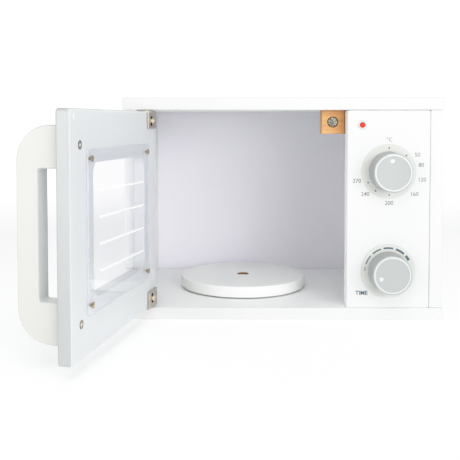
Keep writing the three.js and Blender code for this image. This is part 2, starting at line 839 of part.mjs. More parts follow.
// The handle is one board cut to a bow: two legs on the door and a grip between them
function makeHandle() {
  const faceY = outerY - seatGap;
  const outY = outerY - handleReach;
  const slotY = outY + gripWidth;
  const low = doorMiddleZ - handleHeight / 2;
  const high = doorMiddleZ + handleHeight / 2;
  const slotLow = doorMiddleZ - slotHeight / 2;
  const slotHigh = doorMiddleZ + slotHeight / 2;
  const bend = handleCornerRadius;
  const soft = slotCornerRadius;
  const shape = new THREE.Shape();
  shape.moveTo(faceY, low);
  shape.lineTo(faceY, slotLow);
  shape.lineTo(slotY + soft, slotLow);
  shape.absarc(slotY + soft, slotLow + soft, soft, -Math.PI / 2, -Math.PI, true);
  shape.lineTo(slotY, slotHigh - soft);
  shape.absarc(slotY + soft, slotHigh - soft, soft, Math.PI, Math.PI / 2, true);
  shape.lineTo(faceY, slotHigh);
  shape.lineTo(faceY, high);
  shape.lineTo(outY + bend, high);
  shape.absarc(outY + bend, high - bend, bend, Math.PI / 2, Math.PI);
  shape.lineTo(outY, low + bend);
  shape.absarc(outY + bend, low + bend, bend, Math.PI, Math.PI * 1.5);

  // The outline's x becomes the door's y, its y becomes z, and its thickness lies along x
  const basis = new THREE.Matrix4().makeBasis(
    new THREE.Vector3(0, 1, 0),
    new THREE.Vector3(0, 0, 1),
    new THREE.Vector3(1, 0, 0),
  );
  const body = sawn(shape, handleThickness, handleEdgeRadius, 10).applyMatrix4(basis);
  body.translate(handleX - handleThickness / 2, 0, 0);

  const tools = [];
  const screws = [];
  for (const side of [1, -1]) {
    const z = doorMiddleZ + side * handleScrewSpacing / 2;
    tools.push(screwHole(handleScrew, handleX, innerY, z));
    const screw = turned(sunkProfile(handleScrew, handleScrewProud), smallFacets * 2);
    screws.push(screw.translate(handleX, innerY, z));
  }
  piece('door_handle', cut(body, tools), handlePaint, door);
  piece('handle_screw_upper', screws[0], steel, door);
  piece('handle_screw_lower', screws[1], steel, door);
}

// An L-shaped plate: the leaf lies on the door's inner face, the arm over the door's edge
function makeBracket(name, high) {
  const leafInnerY = innerY + seatGap;
  const armTop = doorTopZ + armProud;
  const armLow = doorTopZ + armUnderside;
  const armEndY = outerY + armEndDepth;
  const profile = new THREE.Shape();
  profile.moveTo(armEndY, armLow);
  profile.lineTo(leafInnerY, armLow);
  profile.lineTo(leafInnerY, armTop - leafHeight);
  profile.lineTo(leafOuterY, armTop - leafHeight);
  profile.lineTo(leafOuterY, armTop - bracketThickness);
  profile.absarc(leafOuterY - bracketThickness, armTop - bracketThickness, bracketThickness, 0, Math.PI / 2);
  profile.lineTo(armEndY, armTop);
  const basis = new THREE.Matrix4().makeBasis(
    new THREE.Vector3(0, 1, 0),
    new THREE.Vector3(0, 0, 1),
    new THREE.Vector3(1, 0, 0),
  );
  const plate = new THREE.ExtrudeGeometry(profile, {
    depth: leafWidth,
    bevelEnabled: false,
    curveSegments: 4,
  });
  plate.applyMatrix4(basis).translate(leafLeft, 0, 0);

  const slotZ = doorTopZ - slotFromEnd;
  const slotRadius = leafSlotWidth / 2;
  const slotShape = roundedOutline(
    new THREE.Shape(),
    slotX - slotRadius,
    slotZ - leafSlotHeight / 2,
    slotX + slotRadius,
    slotZ + leafSlotHeight / 2,
    slotRadius,
  );
  const slotTool = new THREE.ExtrudeGeometry(slotShape, {
    depth: bracketThickness + 2 * overrun,
    bevelEnabled: false,
    curveSegments: 6,
  });
  slotTool.rotateX(Math.PI / 2).translate(0, leafOuterY + overrun, 0);
  const pinTool = rodUp(pinRadius + fitClearance, bracketThickness + 2 * overrun, 0, 0, armLow - overrun);
  const geometry = cut(plate, [slotTool, pinTool]);
  piece(`hinge_bracket_${name}`, turnOver(geometry, high), steel, door);

  const screwZ = doorMiddleZ + high * (doorHeight / 2 - slotFromEnd);
  const screw = turned(screwProfile(hingeScrew), smallFacets);
  piece(`hinge_screw_${name}`, screw.translate(slotX, leafOuterY + seatGap, screwZ), steel, door);
}

// A pin held in the case, with a washer between the case and the bracket's arm
function makeHingePin(name, high) {
  const pinLow = doorTopZ - armNotchDepth - pinInDoor + fitClearance;
  const pin = rodUp(pinRadius, ceilingZ + pinInBoard - pinLow, pivotX, pivotY, pinLow);
  piece(`hinge_pin_${name}`, turnOver(pin, high), steel);
  const washer = turnedUp(
    ring(hingeWasherRadius, pinRadius + fitClearance, hingeWasherThickness),
    smallFacets,
  );
  washer.translate(pivotX, pivotY, ceilingZ - hingeWasherThickness);
  piece(`hinge_washer_${name}`, turnOver(washer, high), nylon);
}

makeTopBoard();
makeBottomBoard();
makeSideBoard('left_side_board', -1);
makeSideBoard('right_side_board', 1);
makeCaseDowels();
makeBackPanel();
makeControlPanel();
makeDial('temperature', temperatureZ, temperatureDotTurn);
makeDial('timer', timerZ, timerDotTurn);
makeIndicator();
makeCatch();
makeTurntable();
makeDoorPanel();
makeWindowPane();
makeHandle();
makeBracket('upper', 1);
makeBracket('lower', -1);
makeHingePin('upper', 1);
makeHingePin('lower', -1);

export default microwave;
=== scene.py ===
"""A painted wooden toy microwave with its door open: boards, door, pane, handle, dials and fittings."""

import json
import math

import bmesh
import bpy
import numpy as np
from bpy.props import FloatProperty, FloatVectorProperty, IntProperty, PointerProperty
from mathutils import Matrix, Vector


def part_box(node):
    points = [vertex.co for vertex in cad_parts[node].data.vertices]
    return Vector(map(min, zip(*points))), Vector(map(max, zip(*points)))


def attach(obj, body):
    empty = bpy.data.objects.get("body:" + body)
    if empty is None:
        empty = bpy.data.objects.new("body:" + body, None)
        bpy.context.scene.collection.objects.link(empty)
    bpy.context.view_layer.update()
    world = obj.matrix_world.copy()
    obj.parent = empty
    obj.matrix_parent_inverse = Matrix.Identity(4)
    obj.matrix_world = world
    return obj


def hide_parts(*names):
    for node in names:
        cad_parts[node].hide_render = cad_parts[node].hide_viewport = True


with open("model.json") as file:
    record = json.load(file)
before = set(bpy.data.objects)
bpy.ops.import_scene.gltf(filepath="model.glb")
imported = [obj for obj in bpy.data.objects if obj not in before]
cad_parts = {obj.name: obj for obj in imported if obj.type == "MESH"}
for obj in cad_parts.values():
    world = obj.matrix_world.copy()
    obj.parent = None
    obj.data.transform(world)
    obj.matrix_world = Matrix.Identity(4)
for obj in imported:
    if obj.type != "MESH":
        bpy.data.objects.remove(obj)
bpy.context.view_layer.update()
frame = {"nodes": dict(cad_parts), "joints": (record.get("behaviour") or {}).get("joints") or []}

bl_info = {
    "name": "Toy microwave",
    "version": (1, 0, 0),
    "blender": (4, 5, 0),
    "location": "3D View > Sidebar > Microwave",
    "description": "Painted boards, glazed door, dials and fittings of a wooden toy microwave",
    "category": "Object",
}

JOINTS = {joint["name"]: joint for joint in frame["joints"]}
MM = 0.001
WASHER_EDGE = 0.2 * MM
CASE, DOOR = "case_body", "door_body"

# Facets round a turned piece, from the smallest to the largest
TINY, LITTLE, SMALL, MEDIUM, LARGE, BROAD = 24, 48, 64, 96, 128, 144
SETTINGS = {}


# Settings


def rgb(red, green, blue):
    """A screen colour of 0 to 255 as the linear colour that shaders use."""
    screen = np.array([red, green, blue]) / 255
    return tuple(np.where(screen <= 0.04045, screen / 12.92, ((screen + 0.055) / 1.055) ** 2.4))


def row(kind, default, description, **options):
    """A setting in the making: its kind of property and all that it needs but its name."""
    return kind, {"default": default, "description": description, **options}


def length(millimetres, description):
    """A size setting, given in millimetres and kept in metres."""
    return row(FloatProperty, millimetres * MM, description, min=0, unit="LENGTH", precision=5)


def fastener(sizes, description):
    """Four sizes of a screw, given in millimetres: head radius, head height, shank radius and length."""
    text = description + ": head radius, head height, shank radius and length"
    default = [size * MM for size in sizes]
    return row(FloatVectorProperty, default, text, size=4, min=0, unit="LENGTH", precision=5)


def angle(degrees, description):
    """An angle setting, given in degrees and kept in radians."""
    return row(FloatProperty, math.radians(degrees), description, subtype="ANGLE")


def share(default, description):
    """A setting from 0 to 1."""
    return row(FloatProperty, default, description, min=0, max=1, subtype="FACTOR")


def amount(default, description, unit="NONE"):
    """A plain number."""
    return row(FloatProperty, default, description, unit=unit)


def colour(screen, description):
    """A colour setting, given as a screen colour of 0 to 255."""
    return row(FloatVectorProperty, rgb(*screen), description, size=3, min=0, max=1, subtype="COLOR")


def count(default, description):
    """A whole number setting."""
    return row(IntProperty, default, description, min=1)


def settings_for(name):
    """Marks a group of settings. Each setting is named after its key, and SETTINGS keeps the group."""

    def mark(group):
        rows = group.__annotations__
        for key, (kind, options) in rows.items():
            rows[key] = kind(name=key.replace("_", " ").capitalize(), **options)
        SETTINGS[name] = group
        return group

    return mark


@settings_for("board")
class BoardSettings(bpy.types.PropertyGroup):
    """The case boards and the panel that holds the dials."""

    edge: length(1.1, "Radius that every board edge is sanded to")
    steps: count(6, "Facets across a sanded edge")
    back_edge: length(0.5, "Edge radius of the thin back panel")
    paint: colour((212, 213, 211), "Case paint")
    shade: colour((207, 209, 209), "Second tone of the case paint")
    # Painted light: the faces inside the case are painted brighter than the outer faces, standing in for more
    # light there.
    lining: colour((248, 249, 248), "Brighter paint of the faces that look into the case")
    lining_shade: colour((245, 247, 247), "Second tone of the lining")
    back_paint: colour((246, 244, 252), "Paint of the back panel")
    back_shade: colour((242, 240, 248), "Second tone of the back panel")
    roughness: share(0.42, "Roughness of the paint")
    back_roughness: share(0.6, "Roughness of the back panel's paint")


@settings_for("door")
class DoorSettings(bpy.types.PropertyGroup):
    """The door panel, as it lies when it is closed."""

    open_angle: angle(101.7, "How far the door stands open")
    hinge_inset: length(7.8, "Pivot from the hinge edge")
    hinge_depth: length(6, "Pivot from the outer face")
    width: length(199, "Hinge edge to free edge")
    height: length(189, "Bottom edge to top edge")
    thickness: length(11, "Thickness of the door panel")
    corner: length(3, "Radius of the four corners")
    edge: length(1.7, "Radius of the sanded edges")
    window_from_hinge: length(34.4, "Window from the hinge edge")
    window_from_latch: length(45, "Window from the free edge")
    window_from_end: length(42, "Window from the top and bottom edges")
    window_corner: length(9, "Radius of the window's corners")
    striker_proud: length(0.45, "Painted striker past the door's face")
    paint: colour((213, 216, 217), "Door paint")
    shade: colour((209, 212, 214), "Second tone of the door paint")
    # Painted shade: the door's edges are painted darker than its faces to stand for shade.
    edge_paint: colour((173, 175, 175), "Paint on the board's edges, where it sinks in")
    edge_shade: colour((169, 172, 173), "Second tone of the edges")
    roughness: share(0.3, "Roughness of the door paint")


@settings_for("pane")
class PaneSettings(bpy.types.PropertyGroup):
    """The clear pane behind the window, and the lines printed on it."""

    lap_hinge: length(10.4, "Pane past the window, towards the hinge")
    lap_latch: length(16, "Pane past the window, towards the free edge")
    lap_end: length(11.5, "Pane past the window, above and below")
    gap: length(0.3, "Gap between the pane and the door")
    thickness: length(2, "Thickness of the pane")
    corner: length(1.5, "Radius of the pane's corners")
    edge: length(0.3, "Radius of the polished edges")
    rim: colour((222, 224, 234), "Tone of the sheet seen edge on")
    screw_inset: length(6.4, "Screws from the pane's upright edges")
    screw_rise: length(7.6, "Screws from the pane's top and bottom edges")
    line_start: length(9.3, "Printed lines from the window's hinge side")
    line_end: length(5.5, "Printed lines from the window's free side")
    line_height: length(1.6, "Width of a printed line")
    line_first: length(30.2, "Top line's middle above the door's middle")
    line_pitch: length(21.3, "Distance between printed lines")
    lines: count(4, "Number of printed lines")
    line_tilt: angle(1.07, "How far the printed lines rise towards the door's free side")
    clear: colour((254, 254, 255), "Tint of the clear sheet")
    print: colour((250, 251, 252), "Colour of the printed lines")


@settings_for("handle")
class HandleSettings(bpy.types.PropertyGroup):
    """The bow handle, sawn from one board."""

    thickness: length(17, "Thickness of the handle's board")
    from_latch: length(19, "Handle's middle from the door's free edge")
    reach: length(36.7, "How far it stands out from the door")
    height: length(164.8, "End to end")
    grip: length(17.6, "Width of the grip")
    leg: length(32.65, "Height of each leg")
    corner: length(27, "Radius of the outer corners")
    slot_corner: length(1.6, "Radius of the slot's corners")
    edge: length(1.3, "Radius of the sanded edges")
    gap: length(0.3, "Gap between the handle and the door")
    paint: colour((197, 197, 192), "Handle paint")
    shade: colour((193, 194, 189), "Second tone of the handle paint")
    roughness: share(0.45, "Roughness of the handle's paint")


@settings_for("hinge")
class HingeSettings(bpy.types.PropertyGroup):
    """The bent steel brackets that carry the door, and the pins that they turn on."""

    plate: length(1.8, "Thickness of the plate")
    leaf_inset: length(3, "Leaf from the door's hinge edge")
    leaf_width: length(23, "Width of the leaf")
    leaf_height: length(17.2, "Height of the leaf, bend included")
    proud: length(0.45, "Arm above the door's edge")
    arm_end: length(2.4, "Arm's end from the door's outer face")
    gap: length(0.3, "Gap between the leaf and the door")
    slot_width: length(4.6, "Width of the screw slot")
    slot_height: length(9, "Height of the screw slot")
    slot_inset: length(14.5, "Slot from the leaf's hinge end")
    edge: length(0.35, "Radius of the plate's edges")
    corner: length(0.9, "Radius of the leaf's corners")
    lap: length(1.2, "How far the bent piece runs down behind the leaf's top")
    pin_edge: length(0.4, "Radius of a pin's ends")
    washer_edge: length(0.12, "Edge radius of a hinge washer")
    washer_play: length(0.3, "Gap between a hinge washer and its pin")


@settings_for("turntable")
class TurntableSettings(bpy.types.PropertyGroup):
    """The turntable disc, its washer and its spindle."""

    edge: length(1.6, "Radius of the disc's edges")
    pocket: length(6.5, "Radius of the pocket for the spindle's head")
    pocket_depth: length(5.5, "Depth of that pocket")
    pocket_edge: length(0.25, "Radius of the pocket's edges")
    bore: length(3, "Radius of the bore under the pocket")
    shank: length(2.7, "Radius of the spindle's shank")
    head_height: length(3.2, "Height of the spindle's head")
    facets: count(144, "Facets round the disc")
    paint: colour((237, 238, 236), "Paint of the disc")
    shade: colour((234, 235, 234), "Second tone of the disc's paint")
    bare: colour((150, 104, 62), "Unpainted board in the pocket")


@settings_for("dial")
class DialSettings(bpy.types.PropertyGroup):
    """The dial plates, their marks, the figures round them and the indicator."""

    plate_edge: length(0.38, "Edge radius of a dial plate")
    plate: colour((197, 198, 194), "Colour of the dial plates")
    ink_height: length(0.05, "Thickness of the printing")
    dot_ring: length(22.6, "Printed dots from the dial's centre")
    dot: length(0.82, "Radius of a printed dot")
    dash_ring: length(22.4, "Printed dashes from the dial's centre")
    text: length(5.5, "Type size of the figures")
    text_weight: length(0.04, "How much bolder than the plain face the figures are")
    word: length(5.6, "Type size of the word by the timer")
    word_weight: length(0.15, "How much bolder than the plain face the word is")
    grey_ink: colour((104, 107, 107), "Ink of the figures")
    blue_ink: colour((72, 94, 105), "Ink of the dashes and the word")
    lens: colour((208, 46, 34), "Colour of the indicator's lens")
    collar: colour((188, 196, 192), "Colour of the indicator's collar")


@settings_for("knob")
class KnobSettings(bpy.types.PropertyGroup):
    """The two knobs, and the spindles and washers behind them."""

    base: length(19.2, "Radius at the dial")
    face: length(18.5, "Radius at the rim")
    reach: length(22.5, "Face from the control panel")
    shoulder: length(1.15, "Radius that rounds the rim outside the lip")
    lip: length(1.45, "Width of the pale lip")
    groove: length(0.12, "Lip above the shoulder")
    recess: length(0.5, "Face below the lip")
    dot: length(2, "Radius of the pointer dot")
    dot_height: length(0.45, "Height of the pointer dot")
    dot_inset: length(7.5, "Pointer dot from the knob's edge")
    temperature_turn: angle(-6, "Temperature pointer, clockwise from the top")
    timer_turn: angle(-109, "Timer pointer, clockwise from the top")
    bore: length(3.3, "Radius of the spindle's bore")
    bore_depth: length(13, "Depth of the spindle's bore")
    play: length(0.3, "Gap between the spindle and its bore")
    head_height: length(2.6, "Height of the spindle's head")
    plastic: colour((165, 168, 167), "Colour of the knobs")
    lip_plastic: colour((197, 201, 202), "Colour of the lip")
    dot_plastic: colour((204, 206, 207), "Colour of the pointer dot")


@settings_for("catch")
class CatchSettings(bpy.types.PropertyGroup):
    """The magnet catch."""

    edge: length(0.5, "Edge radius of the block")
    hole: length(5.3, "Radius of the magnet's hole")
    hole_depth: length(4.3, "Depth of the magnet's hole")
    hole_edge: length(0.25, "Bevel round the magnet's hole")
    rim: length(0.45, "Dark rounded rim of the magnet")
    wood: colour((213, 163, 102), "Light tone of the block")
    grain: colour((188, 131, 75), "Dark tone of the block")


@settings_for("screw")
class ScrewSettings(bpy.types.PropertyGroup):
    """The cross-head screws and other small metal."""

    facets: count(64, "Facets round a head")
    back: fastener((3.2, 1.8, 1.4, 16), "Back screws")
    pane: fastener((2.5, 1.0, 1.2, 9.5), "Pane screws")
    hinge: fastener((2.5, 1.7, 1.4, 10), "Hinge screws")
    catch: fastener((3.6, 2.2, 1.7, 30), "Catch screw")
    handle: fastener((3.5, 2.0, 1.8, 29), "Handle screws, sunk into the door")
    proud: length(0.2, "Sunk head past the door's face")
    handle_inset: length(15.1, "Handle screws from the handle's ends")
    arm: share(0.6, "Length of the cross, as a share of the head's radius")
    slot: share(0.17, "Half width of the cross, as a share of the head's radius")
    depth: share(0.28, "Depth of the cross, as a share of the head's radius")
    metal: colour((176, 162, 145), "Colour of the screws")
    plate: colour((202, 196, 188), "Colour of the brackets")
    # Painted highlight: the hinge screws take this lighter tone to stand for the glint on their heads.
    bright: colour((247, 236, 208), "Colour of the hinge screws")
    # Painted shade: the handle screws take this darker tone to stand for shade on them.
    dark: colour((142, 129, 112), "Colour of the handle screws")
    # Painted shade: this dark tone stands for the shade inside the brackets' slots and in the gap round the
    # magnet.
    slot_tone: colour((46, 30, 18), "Colour of the oiled metal in the brackets' slots")


@settings_for("stage")
class StageSettings(bpy.types.PropertyGroup):
    """The floor, the lights and the camera."""

    floor: colour((250, 251, 252), "Colour of the floor and the backdrop")
    glow: amount(0.62, "Light that the far floor and the backdrop give off")
    near_glow: amount(0.25, "Light that the near floor gives off")
    world: amount(0.43, "Light of the white room")
    front: amount(6.8, "Power of the front light", "POWER")
    side: amount(15.0, "Power of the side light", "POWER")
    high: amount(13.4, "Power of the high light", "POWER")
    left: amount(11.2, "Power of the left light", "POWER")
    top: amount(2.5, "Power of the top light", "POWER")
    knee: share(0.75, "Brightness from which the film holds its highlights back")
    white: amount(1.25, "Brightness that the film shows as white")
    lens: amount(57.81, "Focal length in millimetres")
    shift: amount(-0.163, "Upright shift of the lens")


class MicrowaveSettings(bpy.types.PropertyGroup):
    """All the settings of the toy microwave."""

    __annotations__ = {
        name: PointerProperty(type=group, name=name.capitalize(), description=group.__doc__)
        for name, group in SETTINGS.items()
    }


# Surfaces


class Place:
    """A spot with three axes at right angles.

    A point (a, b, c) lies at origin + a * first + b * second + c * third.
    """

    def __init__(self, origin, first, second, third):
        self.origin = np.array(origin, float)
        self.axes = [np.array(axis, float) for axis in (first, second, third)]

    def __call__(self, a, b, c):
        steps = [np.asarray(value, float)[..., None] * axis for value, axis in zip((a, b, c), self.axes)]
        return self.origin + steps[0] + steps[1] + steps[2]

    def at(self, x, y, z):
        """The same axes at another spot."""
        return Place((x, y, z), *self.axes)


RIGHT, IN, UP = np.eye(3)
FRONT = Place((0, 0, 0), RIGHT, UP, -IN)
LEVEL = Place((0, 0, 0), RIGHT, IN, UP)
SIDEWAYS = Place((0, 0, 0), IN, UP, RIGHT)


class Box:
    """A CAD node's box: its lowest and highest corner, its middle and half its width."""

    def __init__(self, node):
        self.low, self.high = (np.array(corner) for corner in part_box(node))
        self.middle = (self.low + self.high) / 2
        self.radius = (self.high[0] - self.low[0]) / 2


def door_axes(door):
    """The door's pivot, and its right and inward axes, turned about the pivot by the open angle."""
    turn = -door.open_angle
    right = np.array([math.cos(turn), math.sin(turn), 0])
    inward = np.array([-math.sin(turn), math.cos(turn), 0])
    pivot = np.array(JOINTS["door_hinge"]["pos_m"]) * (1, 1, 0)
    return pivot, right, inward


def window_of(door, low, high):
    """The window's left, low, right and high sides in the plane of a door that runs from low to high."""
    left = door.window_from_hinge - door.hinge_inset
    right = door.width - door.hinge_inset - door.window_from_latch
    return left, low + door.window_from_end, right, high - door.window_from_end


def filleted(corners, radii, steps):
    """A closed outline with rounded corners, counter-clockwise, and its outward normals.

    At each corner the normal turns evenly from one side's to the next one's. The point lies one radius along
    it from the arc's centre, which is radius / cos(half the turn) from the corner on the bisector.
    """
    corners = np.asarray(corners, float)
    radii = np.broadcast_to(np.asarray(radii, float), len(corners))
    into = corners - np.roll(corners, 1, axis=0)
    into /= np.linalg.norm(into, axis=1, keepdims=True)
    out = np.roll(into, -1, axis=0)
    turn = np.arctan2(into[:, 0] * out[:, 1] - into[:, 1] * out[:, 0], (into * out).sum(axis=1))
    side = np.sign(turn)
    first = np.arctan2(-into[:, 0], into[:, 1])
    middle = first + turn / 2
    bisector = np.stack([np.cos(middle), np.sin(middle)], axis=1)
    centre = corners - bisector * (side * radii / np.cos(turn / 2))[:, None]
    angles = first[:, None] + turn[:, None] * np.linspace(0, 1, steps + 1)
    normals = np.stack([np.cos(angles), np.sin(angles)], axis=-1)
    points = centre[:, None] + normals * (side * radii)[:, None, None]
    return points.reshape(-1, 2), normals.reshape(-1, 2)


def rectangle(left, low, right, high, radius, steps=8):
    """A rounded rectangle, counter-clockwise from its low left corner."""
    return filleted([(left, low), (right, low), (right, high), (left, high)], radius, steps)


def with_more_points(outline, spacing):
    """The same outline with points added on its straight sides, no further apart than the spacing."""
    points, normals = (np.concatenate([part, part[:1]]) for part in outline)
    along = np.concatenate([[0], np.cumsum(np.linalg.norm(np.diff(points, axis=0), axis=1))])
    stops = np.union1d(along[:-1], np.arange(0, along[-1], spacing))

    def at_stops(values):
        return np.stack([np.interp(stops, along, values[:, i]) for i in (0, 1)], axis=1)

    return at_stops(points), at_stops(normals)


def rounded_line(points, radius, steps=6):
    """An open line with rounded corners: each corner becomes the arc that touches both its sides."""
    points = np.asarray(points, float)
    radii = np.zeros(len(points))
    radii[1:-1] = radius
    arcs, _ = filleted(points, radii, steps)
    arcs = arcs.reshape(len(points), steps + 1, 2)
    return np.concatenate([points[:1], arcs[1:-1].reshape(-1, 2), points[-1:]])


def sanded(low, high, radius, steps):
    """Inset and height along a board's edge, from its low face to its high face.

    Each edge is a quarter circle: inset = radius * (1 - sin t) and height = radius * (1 - cos t), with one
    more ring on each face a third of a radius further in, which keeps the face's shading flat.
    """
    t = np.linspace(0, math.pi / 2, steps + 1)
    inset = np.concatenate([[radius * 4 / 3], radius * (1 - np.sin(t))])
    rise = np.concatenate([[0], radius * (1 - np.cos(t))])
    return np.concatenate([inset, inset[::-1]]), np.concatenate([low + rise, high - rise[::-1]])


def ring_solid(rings, start="cap", end="cap"):
    """A closed surface through a stack of rings, each an array of points that run counter-clockwise.

    Ring k is joined to ring k + 1 by four-sided faces. An end is a flat cap, a pole where the whole ring is
    one point, or "loop" where the last ring joins the first.
    """
    depth, around = rings.shape[:2]
    index = np.arange(depth * around).reshape(depth, around)
    following = np.roll(index, -1, axis=1)
    if start == "loop":
        index, following = np.vstack([index, index[:1]]), np.vstack([following, following[:1]])
    walls = np.stack([index[:-1], following[:-1], following[1:], index[1:]], axis=-1)
    faces = []
    if start == "pole":
        tip = np.full(around, index[0, 0])
        faces += np.stack([tip, following[1], index[1]], axis=-1).tolist()
        walls = walls[1:]
    if end == "pole":
        tip = np.full(around, index[-1, 0])
        faces += np.stack([index[-2], following[-2], tip], axis=-1).tolist()
        walls = walls[:-1]
    faces += walls.reshape(-1, 4).tolist()
    if start == "cap":
        faces.append(index[0][::-1].tolist())
    if end == "cap":
        faces.append(index[-1].tolist())
    return rings.reshape(-1, 3), faces


def slab(outline, low, high, edge, place, hole=None, steps=5):
    """A board sawn to an outline, with sanded edges, from height low to height high.

    Every ring is the outline moved in along its normals by the edge's inset. With a hole the rings go on
    over the high face, down the hole's wall and back, so the board is one closed band.
    """
    inset, height = sanded(low, high, edge, steps)
    points, normals = outline
    flat = points - inset[:, None, None] * normals
    if hole is None:
        return ring_solid(place(flat[..., 0], flat[..., 1], height[:, None]))
    points, normals = hole
    flat = np.concatenate([flat, points + inset[::-1, None, None] * normals])
    height = np.concatenate([height, height[::-1]])
    return ring_solid(place(flat[..., 0], flat[..., 1], height[:, None]), "loop", "loop")


def turned(profile, facets, place, start="loop", end="loop", relief=None):
    """A lathe shape: each r and height of the profile gives (r * cos t, r * sin t, height) at turn t.

    A relief is added to the heights, and is a function of the two flat coordinates and the height.
    """
    profile = np.asarray(profile, float)
    t = np.linspace(0, 2 * math.pi, facets, endpoint=False)
    across = profile[:, :1] * np.cos(t)
    along = profile[:, :1] * np.sin(t)
    height = np.broadcast_to(profile[:, 1:], across.shape)
    if relief is not None:
        height = height + relief(across, along, height)
    return ring_solid(place(across, along, height), start, end)


def rod(points, radii, facets, place):
    """A solid lathe shape: a line of radius and height, from axis to axis, with rounded corners."""
    return turned(rounded_line(points, radii), facets, place, "pole", "pole")


def dome(radius, low, high, steps):
    """A quarter ellipse from (radius, low) to (0, high): (radius * sin t, low + (high - low) * cos t)."""
    t = np.linspace(math.pi / 2, 0, steps)
    return np.stack([radius * np.sin(t), low + (high - low) * np.cos(t)], axis=1)


def washer(inner, outer, low, high, edge, facets, place, steps=4):
    """A flat ring: a rounded rectangle of radius and height, turned about the axis."""
    profile, _ = rectangle(inner, low, outer, high, edge, steps)
    return turned(profile, facets, place)


def joined(*shells):
    """Several closed surfaces as one mesh."""
    points, faces, start = [], [], 0
    for shell_points, shell_faces in shells:
        points.append(shell_points)
        faces += [[start + i for i in face] for face in shell_faces]
        start += len(shell_points)
    return np.concatenate(points), faces


def arc_band(radius, width, first, last, high, place, steps=16):
    """A flat curved bar: a box of width by height carried round an arc of the given radius.

    Angles run clockwise from the top, so the point at angle t is (r * sin t, r * cos t).
    """
    t = np.linspace(first, last, steps + 1)[:, None]
    r = radius + width / 2 * np.array([1, 1, -1, -1])
    height = np.broadcast_to([0, high, high, 0], (steps + 1, 4))
    return ring_solid(place(r * np.sin(t), r * np.cos(t), height))


# Finishes


def toned(tone, factor):
    """A colour times a factor, or times one factor for each channel."""
    return tuple(np.multiply(tone, factor))


class Number:
    """A number that changes over a surface. Arithmetic on it adds Math nodes."""

    def __init__(self, finish, socket):
        self.finish, self.socket = finish, socket

    def math(self, operation, *values, clamp=False):
        made = self.finish.node("Math", dict(enumerate(values)), operation=operation, use_clamp=clamp)
        return Number(self.finish, made.outputs[0])

    def __add__(self, other):
        return self.math("ADD", self, other)

    def __radd__(self, other):
        return self.math("ADD", other, self)

    def __sub__(self, other):
        return self.math("SUBTRACT", self, other)

    def __rsub__(self, other):
        return self.math("SUBTRACT", other, self)

    def __mul__(self, other):
        return self.math("MULTIPLY", self, other)

    def __rmul__(self, other):
        return self.math("MULTIPLY", other, self)

    def __pow__(self, other):
        return self.math("POWER", self, other)

    def above(self, level, softness):
        """0 below the level and 1 above it, with a soft step between."""
        return self.math("MULTIPLY_ADD", self, 1 / softness, 0.5 - level / softness, clamp=True)


class Finish:
    """A material in the making. Every node is added by one method."""

    def __init__(self, name):
        self.material = bpy.data.materials.new(name)
        self.material.use_nodes = True
        self.tree = self.material.node_tree
        self.tree.nodes.clear()
        self.output = self.node("OutputMaterial")
        self.place = self.node("TexCoord").outputs["Object"]

    def node(self, kind, values=None, **settings):
        """A node with its settings and its inputs, which are plain values, sockets or Numbers."""
        made = self.tree.nodes.new("ShaderNode" + kind)
        for key, value in settings.items():
            setattr(made, key, value)
        for key, value in (values or {}).items():
            value = value.socket if isinstance(value, Number) else value
            if isinstance(value, bpy.types.NodeSocket):
                self.tree.links.new(value, made.inputs[key])
            else:
                made.inputs[key].default_value = value
        return made

    def coordinate(self, axis):
        """One object coordinate, in metres: X, Y or Z."""
        return Number(self, self.node("SeparateXYZ", {"Vector": self.place}).outputs[axis])

    def noise(self, scale, detail=2, roughness=0.5):
        """Noise from 0 to 1. The scale is one number, or one for each axis."""
        place = self.place
        if isinstance(scale, tuple):
            place = self.node("Mapping", {"Vector": place, "Scale": scale}).outputs["Vector"]
            scale = 1
        values = {"Vector": place, "Scale": scale, "Detail": detail, "Roughness": roughness}
        return Number(self, self.node("TexNoise", values).outputs["Fac"])

    def mix(self, factor, first, second):
        """The first colour where the factor is 0, and the second where it is 1."""
        colours = [c if isinstance(c, bpy.types.NodeSocket) else (*c, 1) for c in (first, second)]
        return self.node("Mix", {0: factor, 6: colours[0], 7: colours[1]}, data_type="RGBA").outputs[2]

    def bump(self, height, millimetres):
        """A normal from a height of 0 to 1 that stands for so many millimetres."""
        return self.node("Bump", {"Height": height, "Distance": millimetres * MM}).outputs["Normal"]

    def show(self, shader):
        """Wires a shader to the output."""
        self.tree.links.new(shader.outputs[0], self.output.inputs["Surface"])
        return shader

    def see_through(self, solid, tone, shader):
        """Lets light straight through, tinted by the tone, but for the solid share that the shader takes."""
        through = self.node("BsdfTransparent", {"Color": (*tone, 1)})
        self.show(self.node("MixShader", {0: solid, 1: through.outputs[0], 2: shader.outputs[0]}))

    def surface(self, **values):
        """A Principled shader with the given sockets, wired to the output."""
        named = {}
        for key, value in values.items():
            if key.endswith("color") and not isinstance(value, bpy.types.NodeSocket):
                value = (*value, 1)
            named[key.replace("_", " ").title().replace("Ior", "IOR")] = value
        return self.show(self.node("BsdfPrincipled", named))


def paint(finish, tone, shade, roughness, peel=0.012):
    """Satin paint on sanded board: two close tones in soft clouds, a fine orange peel and a little dust."""
    clouds = finish.noise(14, 3)
    peel_noise = finish.noise(1400, 2, 0.6)
    speck = finish.noise(420, 1).above(0.74, 0.05)
    streak = finish.noise((9, 9, 620)).above(0.55, 0.4)
    base = finish.mix(clouds.above(0.5, 0.5), tone, shade)
    base = finish.mix(streak * 0.4, base, toned(tone, 0.965))
    base = finish.mix(speck * 0.35, base, toned(tone, 0.93))
    finish.surface(
        base_color=base,
        roughness=roughness + (clouds - 0.5) * 0.12 + (peel_noise - 0.5) * 0.05,
        normal=finish.bump(peel_noise, peel),
    )


def bare_board(finish, tone):
    """Raw fibreboard: brown, matt and finely speckled."""
    fibre = finish.noise(2600, 3, 0.7)
    base = finish.mix(fibre, toned(tone, 0.55), tone)
    finish.surface(base_color=base, roughness=0.9, normal=finish.bump(fibre, 0.08))


